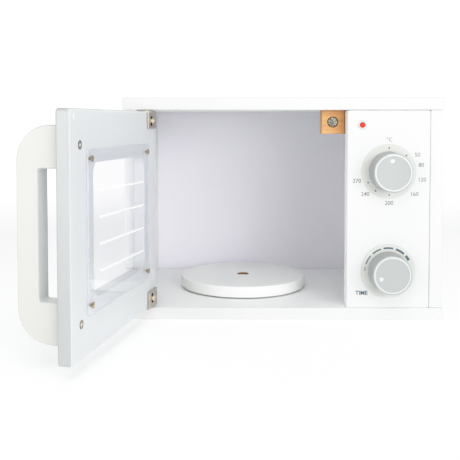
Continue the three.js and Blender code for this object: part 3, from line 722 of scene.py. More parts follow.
def beech(finish, tone, grain):
    """Varnished beech: long soft grain, finer fibres along it, short dark flecks, and painted shade on its
    right side.

    A painted shadow makes it darkest where the control panel's back edge lies on it.
    """
    grain_line = finish.noise((30, 700, 420), 3, 0.55)
    fibre = finish.noise((160, 3200, 2600), 3, 0.6)
    fleck = finish.noise((420, 3600, 3000), 1).above(0.64, 0.06)
    base = finish.mix(grain_line.above(0.52, 0.35), tone, grain)
    base = finish.mix(fibre.above(0.56, 0.3) * 0.4, base, toned(grain, 0.86))
    base = finish.mix(fleck * 0.55, base, toned(grain, 0.6))
    # Painted shade: the block grows darker towards its right side.
    right_side_shade = finish.coordinate("X").above(0.053, 0.026)
    base = finish.mix(right_side_shade * 0.6, base, toned(grain, (0.8, 0.688, 0.24)))
    # Painted shadow: a dark band where the control panel's back edge lies on the block.
    panel_shadow = finish.coordinate("X").above(0.0608, 0.0006)
    base = finish.mix(panel_shadow * 0.9, base, rgb(44, 28, 16))
    finish.surface(
        base_color=base,
        roughness=0.42 + fibre * 0.16,
        normal=finish.bump(fibre, 0.03),
        coat_weight=0.15,
        coat_roughness=0.3,
    )


def dowel_wood(finish):
    """Bare pale dowel with fibres along it."""
    fibre = finish.noise((2600, 2600, 140), 3, 0.6)
    base = finish.mix(fibre, rgb(205, 170, 122), rgb(226, 198, 152))
    finish.surface(base_color=base, roughness=0.72, normal=finish.bump(fibre, 0.03))


def metal(finish, tone, roughness, scratch=0.1):
    """Plated steel: fine scratches, and a duller, browner tone in clouds."""
    cloud = finish.noise(300, 3)
    fine = finish.noise((5200, 5200, 900), 2, 0.6)
    finish.surface(
        base_color=finish.mix(cloud.above(0.55, 0.3) * 0.25, tone, toned(tone, (0.62, 0.55, 0.46))),
        metallic=1.0,
        roughness=roughness + (fine - 0.5) * scratch + (cloud - 0.5) * 0.2,
        normal=finish.bump(fine, 0.006),
    )


def magnet_metal(finish):
    """A worn nickel magnet: mottled dark and light grey."""
    blot = finish.noise(900, 4, 0.7)
    finish.surface(
        base_color=finish.mix(blot.above(0.52, 0.14), rgb(64, 62, 54), rgb(172, 168, 154)),
        metallic=0.85,
        roughness=0.38 + (blot - 0.5) * 0.3,
        normal=finish.bump(blot, 0.08),
    )


def plastic(finish, tone, roughness, texture=0.01, coat=0.0):
    """Moulded plastic: even colour with a very fine spark texture."""
    spark = finish.noise(2800, 2, 0.6)
    cloud = finish.noise(45)
    finish.surface(
        base_color=finish.mix(cloud.above(0.5, 0.6) * 0.5, tone, toned(tone, 0.96)),
        roughness=roughness + (spark - 0.5) * 0.1,
        normal=finish.bump(spark, texture),
        coat_weight=coat,
        coat_roughness=0.08,
    )


def ink(finish, tone):
    """Printing ink, a little uneven."""
    cover = finish.noise(1800)
    pale = tuple(min(1, value) for value in toned(tone, 1.25))
    base = finish.mix(cover.above(0.62, 0.3) * 0.3, tone, pale)
    finish.surface(base_color=base, roughness=0.5 + cover * 0.1)


def lens_plastic(finish, tone):
    """Clear red plastic whose tone swirls a little, with a faint painted glow though no lamp is in it."""
    swirl = finish.noise(900)
    finish.surface(
        base_color=finish.mix(swirl, tone, toned(tone, 0.9)),
        roughness=0.14 + swirl * 0.06,
        ior=1.3,
        # Painted glow: the lens gives off a little light of its own.
        emission_color=finish.mix(swirl, tone, toned(tone, 0.8)),
        emission_strength=0.06,
    )


def clear_sheet(finish, tone):
    """Clear sheet: it lets light straight through, and mirrors more at a grazing angle.

    The mirror's share is 0.02 + 1.1 * facing ^ 5, where facing runs from 0 face on to 1 edge on.
    """
    facing = Number(finish, finish.node("LayerWeight", {"Blend": 0.5}).outputs["Facing"])
    smear = finish.bump(finish.noise(60), 0.01)
    shine = finish.surface(base_color=(1.0, 1.0, 1.0), metallic=1.0, roughness=0.02, normal=smear)
    finish.see_through(0.02 + (facing ** 5) * 1.1, tone, shine)


def sheet_rim(finish, tone, rim):
    """The clear sheet's cut edge: it holds more of the light than the faces do."""
    cut = finish.noise((900, 900, 60))
    finish.see_through(0.22 + cut * 0.1, tone, finish.surface(base_color=rim, roughness=0.25))


def floor_finish(finish, tone, near_glow, glow):
    """A plain pale sweep with the faintest mottle, lit from behind as a studio's is, and more so far away."""
    distance = finish.node("VectorMath", {0: finish.place}, operation="LENGTH").outputs["Value"]
    far = Number(finish, distance).above(1.0, 0.8)
    finish.surface(
        base_color=finish.mix(finish.noise(3), tone, toned(tone, 0.985)),
        roughness=0.8,
        emission_color=finish.mix(far, (near_glow / glow,) * 3, (1.0, 1.0, 1.0)),
        emission_strength=glow,
    )


def finishes(settings):
    """Every finish: the CAD slot that it stands for, what makes it, its material's name and its looks."""
    board, door, handle, disc = settings.board, settings.door, settings.handle, settings.turntable
    pane, dial, knob, screw = settings.pane, settings.dial, settings.knob, settings.screw
    catch, stage = settings.catch, settings.stage
    back = (board.back_paint, board.back_shade, board.back_roughness, 0.03)
    glossy = (0.2, 0.004, 0.4)
    return {
        "case": ("white_paint", paint, "case_paint", board.paint, board.shade, board.roughness),
        "lining": (None, paint, "lining_paint", board.lining, board.lining_shade, board.roughness),
        "back": ("back_paint", paint, "back_paint", *back),
        "door": ("door_paint", paint, "door_paint", door.paint, door.shade, door.roughness),
        "door_edge": (None, paint, "door_edge_paint", door.edge_paint, door.edge_shade, door.roughness),
        "handle": ("handle_paint", paint, "handle_paint", handle.paint, handle.shade, handle.roughness),
        "disc": ("white_paint", paint, "disc_paint", disc.paint, disc.shade, board.roughness),
        "bare": (None, bare_board, "bare_board", disc.bare),
        "beech": ("beech", beech, "beech", catch.wood, catch.grain),
        "dowel": ("dowel_wood", dowel_wood, "dowel_wood"),
        "screw": ("steel", metal, "screw_metal", screw.metal, 0.28),
        "bright_screw": ("steel", metal, "bright_screw_metal", screw.bright, 0.3),
        "dark_screw": ("steel", metal, "dark_screw_metal", screw.dark, 0.32),
        "plate": ("steel", metal, "plate_metal", screw.plate, 0.36, 0.2),
        # Painted shade: the dark finish of the slots' walls and the magnet's rim.
        "slot": (None, metal, "slot_metal", screw.slot_tone, 0.55),
        "magnet": ("magnet", magnet_metal, "magnet_metal"),
        "nylon": ("nylon", plastic, "nylon", rgb(232, 230, 223), 0.5),
        "collar": ("nylon", plastic, "collar_plastic", dial.collar, 0.4),
        "dial": ("dial_plastic", plastic, "dial_plastic", dial.plate, 0.55),
        "knob": ("knob_plastic", plastic, "knob_plastic", knob.plastic, 0.42),
        "lip": ("knob_plastic", plastic, "lip_plastic", knob.lip_plastic, *glossy),
        "dot": ("knob_plastic", plastic, "dot_plastic", knob.dot_plastic, *glossy),
        "grey_ink": ("dial_plastic", ink, "grey_ink", dial.grey_ink),
        "blue_ink": ("dial_plastic", ink, "blue_ink", dial.blue_ink),
        "white_ink": ("door_paint", ink, "white_ink", pane.print),
        "lens": ("red_lens", lens_plastic, "red_lens", dial.lens),
        "pane": ("clear_pane", clear_sheet, "clear_sheet", pane.clear),
        "rim": (None, sheet_rim, "sheet_rim", pane.clear, pane.rim),
        "floor": (None, floor_finish, "floor_sweep", stage.floor, stage.near_glow, stage.glow),
    }


# Pieces


class PieceMaker:
    """What every operator of the toy microwave shares."""

    bl_options = {"REGISTER", "UNDO"}

    @property
    def settings(self):
        return bpy.context.scene.toy_microwave

    def finish(self, name):
        """The finish of that name, which is made the first time it is asked for."""
        key = f"finish_{name}"
        kept = bpy.data.materials.get(bpy.context.scene.get(key, ""))
        if kept is None:
            _, maker, material, *looks = finishes(self.settings)[name]
            finish = Finish(material)
            maker(finish, *looks)
            kept = finish.material
            bpy.context.scene[key] = kept.name
        return kept

    def piece(self, name, shell, finish, body=CASE, node=None, painted=(), slot=None, smooth=32):
        """Makes an object of a closed surface, gives it its finish and lets it ride on a body.

        It replaces the CAD node, where one is given. painted holds further finishes, each with a test of the
        faces' middles that says which faces take it.
        """
        points, faces = shell
        mesh = bpy.data.meshes.new(name)
        mesh.from_pydata(points.tolist(), [], faces)
        mesh.materials.append(self.finish(finish))
        centres = np.zeros(len(mesh.polygons) * 3)
        mesh.polygons.foreach_get("center", centres)
        chosen = np.zeros(len(mesh.polygons), np.int32)
        for number, (other, test) in enumerate(painted, 1):
            mesh.materials.append(self.finish(other))
            chosen[test(centres.reshape(-1, 3))] = number
        mesh.polygons.foreach_set("material_index", chosen)
        mesh.shade_smooth()
        mesh.set_sharp_from_angle(angle=math.radians(smooth))
        piece = bpy.data.objects.new(name, mesh)
        bpy.context.scene.collection.objects.link(piece)
        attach(piece, body)
        if node:
            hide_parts(node)

    def ring(self, node, suffix, finish, inner, edge, facets, place):
        """A flat ring that fills its CAD node's box round the place's third axis."""
        part = Box(node)
        low, high = sorted((corner - place.origin) @ place.axes[2] for corner in (part.low, part.high))
        shell = washer(inner, part.radius, low, high, edge, facets, place)
        self.piece(f"{node}_{suffix}", shell, finish, CASE, node)


class MICROWAVE_OT_boards(PieceMaker, bpy.types.Operator):
    """Painted boards of the case, with sanded edges."""

    bl_idname = "microwave.boards"
    bl_label = "Boards"

    def execute(self, context):
        board = self.settings.board
        # Painted light: faces inside the case take brighter paint. The left board's inner face takes the disc
        # paint, and its front edge the brighter lining.
        lit_inside, left = [("lining", self.inside)], [("disc", self.inside), ("lining", self.front_edge)]
        for node, place, edge, finish, painted in (
            ("top_board", LEVEL, board.edge, "case", lit_inside),
            ("bottom_board", LEVEL, board.edge, "case", lit_inside),
            ("left_side_board", SIDEWAYS, board.edge, "case", left),
            ("right_side_board", SIDEWAYS, board.edge, "case", lit_inside),
            ("control_panel", FRONT, board.edge, "case", lit_inside),
            ("back_panel", FRONT, board.back_edge, "back", ()),
        ):
            part = Box(node)
            low, high = (np.array([axis @ corner for axis in place.axes]) for corner in (part.low, part.high))
            outline = rectangle(*low[:2], *high[:2], edge * 1.5)
            shell = slab(outline, *sorted((low[2], high[2])), edge, place, steps=board.steps)
            self.piece(node + "_painted", shell, finish, CASE, node, painted)
        return {"FINISHED"}

    def inside(self, centres):
        """Which points lie on the faces that look into the case."""
        behind_panel = Box("control_panel").low[1] + MM
        low = np.array([Box("left_side_board").high[0], behind_panel, Box("bottom_board").high[2]])
        high = np.array([Box("right_side_board").low[0], Box("back_panel").low[1], Box("top_board").low[2]])
        slack = 0.1 * MM
        return ((centres > low - slack) & (centres < high + slack)).all(axis=1)

    def front_edge(self, centres):
        """Which points lie on the front edge of the left side board."""
        return centres[:, 1] < Box("left_side_board").low[1] + self.settings.board.edge


class MICROWAVE_OT_door(PieceMaker, bpy.types.Operator):
    """Door panel with its round-cornered window, and the striker under its paint."""

    bl_idname = "microwave.door"
    bl_label = "Door"

    def execute(self, context):
        door = self.settings.door
        pivot, right, inward = door_axes(door)
        left, low = -door.hinge_inset, Box("door_panel").low[2]
        outline = rectangle(left, low, left + door.width, low + door.height, door.corner, 12)
        window = rectangle(*window_of(door, low, low + door.height), door.window_corner, 12)
        inner = door.thickness - door.hinge_depth
        shell = slab(outline, -inner, door.hinge_depth, door.edge, Place(pivot, right, UP, -inward), window)
        middle = np.array([left + door.width / 2, low + door.height / 2])
        reach = np.array([door.width, door.height]) / 2 - door.edge / 2

        # The door's edges take the darker edge paint as painted shade.
        def on_edge(centres):
            flat = np.stack([(centres - pivot) @ right, centres[:, 2]], axis=1)
            return (np.abs(flat - middle) > reach).any(axis=1)

        self.piece("door_panel_painted", shell, "door", DOOR, "door_panel", [("door_edge", on_edge)])

        # The striker's painted rim rises softly out of the door's face
        striker = Box("striker")
        across, up = (striker.middle - pivot) @ right, striker.middle[2]
        radius, proud = (striker.high[2] - striker.low[2]) / 2, door.striker_proud
        place = Place(pivot + across * right + inner * inward + up * UP, UP, right, inward)
        rim = rounded_line([(radius, -proud), (radius, proud), (radius * 0.3, proud)], proud * 0.9)
        self.piece("striker_painted", turned(rim, SMALL, place, "cap", "cap"), "door", DOOR, "striker")
        return {"FINISHED"}


class MICROWAVE_OT_pane(PieceMaker, bpy.types.Operator):
    """Clear pane with its printed lines."""

    bl_idname = "microwave.pane"
    bl_label = "Pane"

    def execute(self, context):
        door, pane = self.settings.door, self.settings.pane
        pivot, right, inward = door_axes(door)
        panel = Box("door_panel")
        left, low, free, high = window_of(door, panel.low[2], panel.high[2])
        span = np.array(
            [[left - pane.lap_hinge, low - pane.lap_end], [free + pane.lap_latch, high + pane.lap_end]]
        )
        place = Place(pivot, right, UP, -inward)
        near = -(door.thickness - door.hinge_depth) - pane.gap
        far = near - pane.thickness
        shell = slab(rectangle(*span.ravel(), pane.corner, 6), far, near, pane.edge, place, steps=3)
        axes = np.array([right, UP])

        def on_rim(centres):
            flat = (centres - pivot) @ axes.T
            return np.minimum(flat - span[0], span[1] - flat).min(axis=1) < pane.edge * 1.2

        self.piece("window_pane_clear", shell, "pane", DOOR, "window_pane", [("rim", on_rim)])

        first, reach = left + pane.line_start, (free - pane.line_end - left - pane.line_start) / 2
        middle = (low + high) / 2 + pane.line_first
        half, ink_height = pane.line_height / 2, self.settings.dial.ink_height
        bar = rectangle(-reach, -half, reach, half, half * 0.98, 6)
        along = math.cos(pane.line_tilt) * right + math.sin(pane.line_tilt) * UP
        lines = []
        for line in range(pane.lines):
            spot = place(first + reach, middle - line * pane.line_pitch, 0)
            tilted = Place(spot, along, np.cross(-inward, along), -inward)
            lines.append(slab(bar, far - ink_height, far, ink_height * 0.4, tilted, steps=2))
        self.piece("window_lines", joined(*lines), "white_ink", DOOR)
        return {"FINISHED"}


class MICROWAVE_OT_handle(PieceMaker, bpy.types.Operator):
    """Bow handle, sawn from one board, with every edge sanded round."""

    bl_idname = "microwave.handle"
    bl_label = "Handle"

    def execute(self, context):
        door, handle = self.settings.door, self.settings.handle
        pivot, right, inward = door_axes(door)
        low, high = Box("door_handle").low[2], Box("door_handle").high[2]
        face = -door.hinge_depth - handle.gap
        out = -door.hinge_depth - handle.reach
        slot = out + handle.grip
        small = handle.edge * 1.4
        corners = (
            (out, low, handle.corner),
            (face, low, small),
            (face, low + handle.leg, small),
            (slot, low + handle.leg, handle.slot_corner),
            (slot, high - handle.leg, handle.slot_corner),
            (face, high - handle.leg, small),
            (face, high, small),
            (out, high, handle.corner),
        )
        outline = filleted([corner[:2] for corner in corners], [corner[2] for corner in corners], 20)
        middle = door.width - door.hinge_inset - handle.from_latch
        half, slack = handle.thickness / 2, 0.1 * MM
        place = Place(pivot, inward, UP, right)
        shell = slab(outline, middle - half, middle + half, handle.edge, place, steps=6)

        # Painted light: the slot's walls take the lighter case paint.
        def in_slot(centres):
            depth, aside = (centres - pivot) @ inward, (centres - pivot) @ right - middle
            between = (centres[:, 2] > low + handle.leg - slack) & (centres[:, 2] < high - handle.leg + slack)
            return (depth > slot - slack) & (np.abs(aside) < half - handle.edge / 2) & between

        self.piece("door_handle_painted", shell, "handle", DOOR, "door_handle", [("case", in_slot)])
        return {"FINISHED"}


class MICROWAVE_OT_hinges(PieceMaker, bpy.types.Operator):
    """Bent steel brackets: a slotted leaf, and an arm that a pin goes through."""

    bl_idname = "microwave.hinges"
    bl_label = "Hinge brackets"

    def execute(self, context):
        door, hinge = self.settings.door, self.settings.hinge
        pivot, right, inward = door_axes(door)
        left = hinge.leaf_inset - door.hinge_inset
        face = door.thickness - door.hinge_depth + hinge.gap
        drop = (hinge.leaf_height - (hinge.proud - hinge.plate)) / 2
        slot = np.array([left + hinge.slot_inset, -hinge.proud - drop])
        half = np.array([hinge.slot_width, hinge.slot_height]) / 2
        outline = rectangle(left, -hinge.leaf_height, left + hinge.leaf_width, -hinge.plate, hinge.corner)
        hole = rectangle(*(slot - half), *(slot + half), half[0] * 0.995)
        for name, up in (("upper", UP), ("lower", -UP)):
            node = f"hinge_bracket_{name}"
            part = Box(node)
            origin = pivot + max(part.low @ up, part.high @ up) * up
            side = -up[2]
            heights = sorted((side * face, side * (face + hinge.plate)))
            leaf = slab(outline, *heights, hinge.edge, Place(origin, right, up, side * inward), hole)
            arm = self.arm(Place(origin, right, inward, up), left, face)
            axes = np.array([right, up])

            # The slot's walls take the dark slot finish as painted shade.
            def in_slot(centres, origin=origin, axes=axes):
                return (np.abs((centres - origin) @ axes.T - slot) < half + 0.05 * MM).all(axis=1)

            self.piece(node + "_bent", joined(leaf, arm), "plate", DOOR, node, [("slot", in_slot)])
        return {"FINISHED"}

    def arm(self, place, left, face):
        """Bend and arm: a rounded bar section carried round a quarter turn and on along the door's edge."""
        hinge, door = self.settings.hinge, self.settings.door
        half, thin = hinge.plate / 2, 0.01 * MM
        ends = left + thin, -half + thin, left + hinge.leaf_width - thin, half - thin
        section, _ = rectangle(*ends, hinge.edge, 4)
        t = np.linspace(0, math.pi / 2, 9)
        cos, sin = np.cos(t), np.sin(t)
        arc = np.stack([face + half * cos, -hinge.plate + half * sin, cos, sin], axis=1)
        first = [(face + half, -hinge.plate - hinge.lap, 1, 0)]
        last = [(hinge.arm_end - door.hinge_depth, -half, 0, 1)]
        path = np.concatenate([first, arc, last])[:, None]
        depth = path[..., 0] + section[:, 1] * path[..., 2]
        rise = path[..., 1] + section[:, 1] * path[..., 3]
        across = np.broadcast_to(section[:, 0], depth.shape)
        points, faces = ring_solid(place(across, depth, rise))
        upside_down = place.axes[2][2] < 0
        return points, [face[::-1] for face in faces] if upside_down else faces


class MICROWAVE_OT_turntable(PieceMaker, bpy.types.Operator):
    """Turntable disc with its bare pocket, its washer and its spindle."""

    bl_idname = "microwave.turntable"
    bl_label = "Turntable"

    def execute(self, context):
        table, disc = self.settings.turntable, Box("turntable")
        low, high, (x, y) = disc.low[2], disc.high[2], disc.middle[:2]
        place = LEVEL.at(x, y, 0)
        edge, fine = table.edge, table.pocket_edge
        floor = high - table.pocket_depth
        corners = [
            (table.bore, low),
            (disc.radius, low),
            (disc.radius, high),
            (table.pocket, high),
            (table.pocket, floor),
            (table.bore, floor),
        ]
        profile, _ = filleted(corners, [fine, edge, edge, fine * 2, fine, fine], 8)

        def in_pocket(points):
            return np.hypot(points[:, 0] - x, points[:, 1] - y) < table.pocket + fine * 0.6

        shell, pocket = turned(profile, table.facets, place), [("bare", in_pocket)]
        self.piece("turntable_painted", shell, "disc", "turntable_body", "turntable", pocket)
        self.ring("turntable_washer", "turned", "nylon", table.bore, WASHER_EDGE, MEDIUM, place)

        spindle = Box("turntable_spindle")
        low, high, head, shank = spindle.low[2], spindle.high[2], spindle.radius, table.shank
        seat = high - table.head_height
        points = [(0, low), (shank, low), (shank, seat), (head, seat), (head, high), (0, high)]
        shell = rod(points, [0.4 * MM, 0.1 * MM, 0.3 * MM, 0.9 * MM], MEDIUM, place)
        self.piece("turntable_spindle_turned", shell, "nylon", CASE, "turntable_spindle")
        return {"FINISHED"}


class MICROWAVE_OT_knobs(PieceMaker, bpy.types.Operator):
    """Knobs with a pale lip and a pointer dot, and the spindles and washers behind them."""

    bl_idname = "microwave.knobs"
    bl_label = "Knobs"

    def execute(self, context):
        knob = self.settings.knob
        self.knob("temperature", knob.temperature_turn)
        self.knob("timer", knob.timer_turn)
        return {"FINISHED"}

    def knob(self, name, turn):
        knob, body, part = self.settings.knob, f"{name}_knob_body", Box(f"{name}_knob")
        panel = Box("control_panel").low[1]
        place = FRONT.at(part.middle[0], panel, part.middle[2])
        base, top, groove = panel - part.high[1], knob.reach, knob.groove
        face, rim = top - knob.recess, knob.face - knob.shoulder
        points = [
            (0, base + knob.bore_depth),
            (knob.bore, base + knob.bore_depth),
            (knob.bore, base),
            (knob.base, base),
            (knob.face, top - groove),
            (rim - knob.lip + groove, top - groove),
            (rim - knob.lip, face),
            (0, face),
        ]
        radii = [0.3 * MM, 0.2 * MM, 0.5 * MM, knob.shoulder, groove / 2, groove / 2]
        shell = rod(points, radii, LARGE, place)
        self.piece(f"{name}_knob_moulded", shell, "knob", body, f"{name}_knob")

        lip = washer(rim - knob.lip, rim, top - 4 * groove, top, groove * 1.5, LARGE, place)
        self.piece(f"{name}_knob_lip", lip, "lip", body)

        ring = knob.face - knob.dot_inset
        spot = FRONT.at(*place(ring * math.sin(turn), ring * math.cos(turn), face))
        crown = np.concatenate([[(knob.dot, -0.3 * MM)], dome(knob.dot, 0, knob.dot_height, 7)])
        self.piece(f"{name}_knob_dot", turned(crown, LITTLE, spot, "cap", "pole"), "dot", body)

        spindle = Box(f"{name}_spindle")
        head, shank = spindle.radius, knob.bore - knob.play
        back, front = panel - spindle.high[1], panel - spindle.low[1]
        seat = back + knob.head_height
        points = [(0, back), (head, back), (head, seat), (shank, seat), (shank, front), (0, front)]
        shell = rod(points, [0.8 * MM, 0.3 * MM, 0.1 * MM, 0.4 * MM], SMALL, place)
        self.piece(f"{name}_spindle_turned", shell, "screw", body, f"{name}_spindle")
        self.ring(f"{name}_washer", "turned", "nylon", knob.bore, WASHER_EDGE, SMALL, place)


class MICROWAVE_OT_dials(PieceMaker, bpy.types.Operator):
    """Dial plates with their printed marks, and the figures and word on the panel.

    dots holds angles clockwise from the top, in degrees. dashes holds each dash's first and last angle and
    its width in millimetres. figures and word hold a text with its place on the panel, in millimetres.
    """

    bl_idname = "microwave.dials"
    bl_label = "Dials"

    dots = (0, 46.8, 84, 107, 133, 179, 214.3, 241.8)
    dashes = (
        (-90, -79, 0.7),
        (-72.6, -48.5, 1.1),
        (-41.6, -18.5, 1.4),
        (-11.7, 12.2, 1.7),
        (19.1, 42.5, 2.1),
        (48.3, 62.1, 2.5),
    )
    figures = (
        ("°C", 101.5, 174.9),
        ("50", 128.6, 160.4),
        ("80", 132.3, 150.6),
        ("120", 133.2, 136.4),
        ("160", 126.0, 122.5),
        ("200", 101.8, 113.9),
        ("240", 78.8, 122.5),
        ("270", 70.6, 135.2),
    )
    word = (("TIME", 75.9, 26.5),)

    def execute(self, context):
        dial = self.settings.dial
        tops = {}
        for name in ("temperature", "timer"):
            plate = Box(f"{name}_dial")
            tops[name] = FRONT.at(plate.middle[0], plate.low[1], plate.middle[2])
            place = FRONT.at(plate.middle[0], plate.high[1], plate.middle[2])
            self.ring(f"{name}_dial", "plate", "dial", self.settings.knob.bore, dial.plate_edge, BROAD, place)

        marks = []
        rim = [(dial.dot, 0), (dial.dot, dial.ink_height)]
        for t in map(math.radians, self.dots):
            spot = tops["temperature"](dial.dot_ring * math.sin(t), dial.dot_ring * math.cos(t), 0)
            marks.append(turned(rim, TINY, FRONT.at(*spot), "cap", "cap"))
        self.piece("temperature_dots", joined(*marks), "grey_ink")

        bars = []
        for first, last, width in self.dashes:
            ends = math.radians(first), math.radians(last)
            bars.append(arc_band(dial.dash_ring, width * MM, *ends, dial.ink_height, tops["timer"]))
        self.piece("timer_dashes", joined(*bars), "blue_ink")
        self.printing("temperature_figures", self.figures, dial.text, dial.text_weight, "grey_ink")
        self.printing("timer_word", self.word, dial.word, dial.word_weight, "blue_ink")
        return {"FINISHED"}

    def printing(self, name, words, size, weight, finish):
        """Raised lettering: each word is set flat, given the ink's height and stood up on the panel."""
        panel = Box("control_panel").low[1]
        ink_height = self.settings.dial.ink_height
        shells = []
        for text, across, up in words:
            curve = bpy.data.curves.new(name, "FONT")
            curve.body, curve.size, curve.offset = text, size, weight
            curve.extrude, curve.resolution_u = ink_height / 2, 4
            curve.align_x, curve.align_y = "CENTER", "CENTER"
            setter = bpy.data.objects.new(name + "_setter", curve)
            bpy.context.scene.collection.objects.link(setter)
            bpy.context.view_layer.update()
            lettering = bpy.data.meshes.new_from_object(setter)
            form = bmesh.new()
            form.from_mesh(lettering)
            bmesh.ops.remove_doubles(form, verts=form.verts, dist=1e-7)
            bmesh.ops.recalc_face_normals(form, faces=form.faces)
            flat = np.array([vert.co for vert in form.verts])
            faces = [[vert.index for vert in face.verts] for face in form.faces]
            form.free()
            bpy.data.meshes.remove(lettering)
            bpy.data.objects.remove(setter)
            bpy.data.curves.remove(curve)
            place = FRONT.at(across * MM, panel, up * MM)
            shells.append((place(flat[:, 0], flat[:, 1], flat[:, 2] + ink_height / 2), faces))
        self.piece(name, joined(*shells), finish, slot="white_paint", smooth=20)


class MICROWAVE_OT_indicator(PieceMaker, bpy.types.Operator):
    """Red indicator lens in its pale collar."""

    bl_idname = "microwave.indicator"
    bl_label = "Indicator"

    def execute(self, context):
        collar, lens = Box("indicator_collar"), Box("indicator_lens")
        panel, outer, height = collar.high[1], collar.radius, collar.high[1] - collar.low[1]
        place = FRONT.at(collar.middle[0], panel, collar.middle[2])
        inner = lens.radius + 0.1 * MM
        corners = [(inner, 0), (outer, 0), (outer - height * 0.6, height), (inner, height)]
        section, _ = filleted(corners, [0.05 * MM, 0.15 * MM, 0.35 * MM, 0.15 * MM], 5)
        shell = turned(section, MEDIUM, place)
        self.piece("indicator_collar_turned", shell, "collar", CASE, "indicator_collar")

        back = panel - lens.high[1]
        crown = dome(lens.radius, height * 0.7, panel - lens.low[1], 12)
        profile = np.concatenate([[(0, back), (lens.radius, back)], crown])
        shell = turned(profile, MEDIUM, place, "pole", "pole")
        self.piece("indicator_lens_domed", shell, "lens", CASE, "indicator_lens")
        return {"FINISHED"}


class MICROWAVE_OT_catch(PieceMaker, bpy.types.Operator):
    """Beech block with the round magnet let into its front."""

    bl_idname = "microwave.catch"
    bl_label = "Catch"

    def execute(self, context):
        catch, block, magnet = self.settings.catch, Box("catch_block"), Box("catch_magnet")
        low, high, centre, radius = block.low, block.high, magnet.middle, magnet.radius
        outline = rectangle(low[0], low[2], high[0], high[2], catch.edge * 1.6)
        points, normals = with_more_points(outline, MM)
        inset, height = sanded(-high[1], -low[1], catch.edge, 4)
        flat = points - inset[:, None, None] * normals

        # The magnet's hole follows on from the front face: each point moves straight in to the hole's edge
        away = points - centre[[0, 2]]
        away /= np.linalg.norm(away, axis=1, keepdims=True)
        radii = catch.hole + np.array([catch.hole_edge, 0, 0, 0])
        depth = -low[1] - np.array([0, catch.hole_edge, catch.hole_depth * 0.5, catch.hole_depth])
        flat = np.concatenate([flat, centre[[0, 2]] + radii[:, None, None] * away])
        height = np.concatenate([height, depth])
        shell = ring_solid(FRONT(flat[..., 0], flat[..., 1], height[:, None]))
        self.piece("catch_block_beech", shell, "beech", CASE, "catch_block")

        thick = magnet.high[1] - magnet.low[1]
        place = FRONT.at(centre[0], low[1], centre[2])
        shell = rod([(0, -thick), (radius, -thick), (radius, 0), (0, 0)], catch.rim, MEDIUM, place)

        # Painted shade: the magnet's rim takes the dark slot finish for the shadow in the gap round it.
        def on_rim(centres):
            return np.linalg.norm((centres - centre)[:, [0, 2]], axis=1) > radius - catch.rim

        self.piece("catch_magnet_plated", shell, "magnet", CASE, "catch_magnet", [("slot", on_rim)])
        return {"FINISHED"}


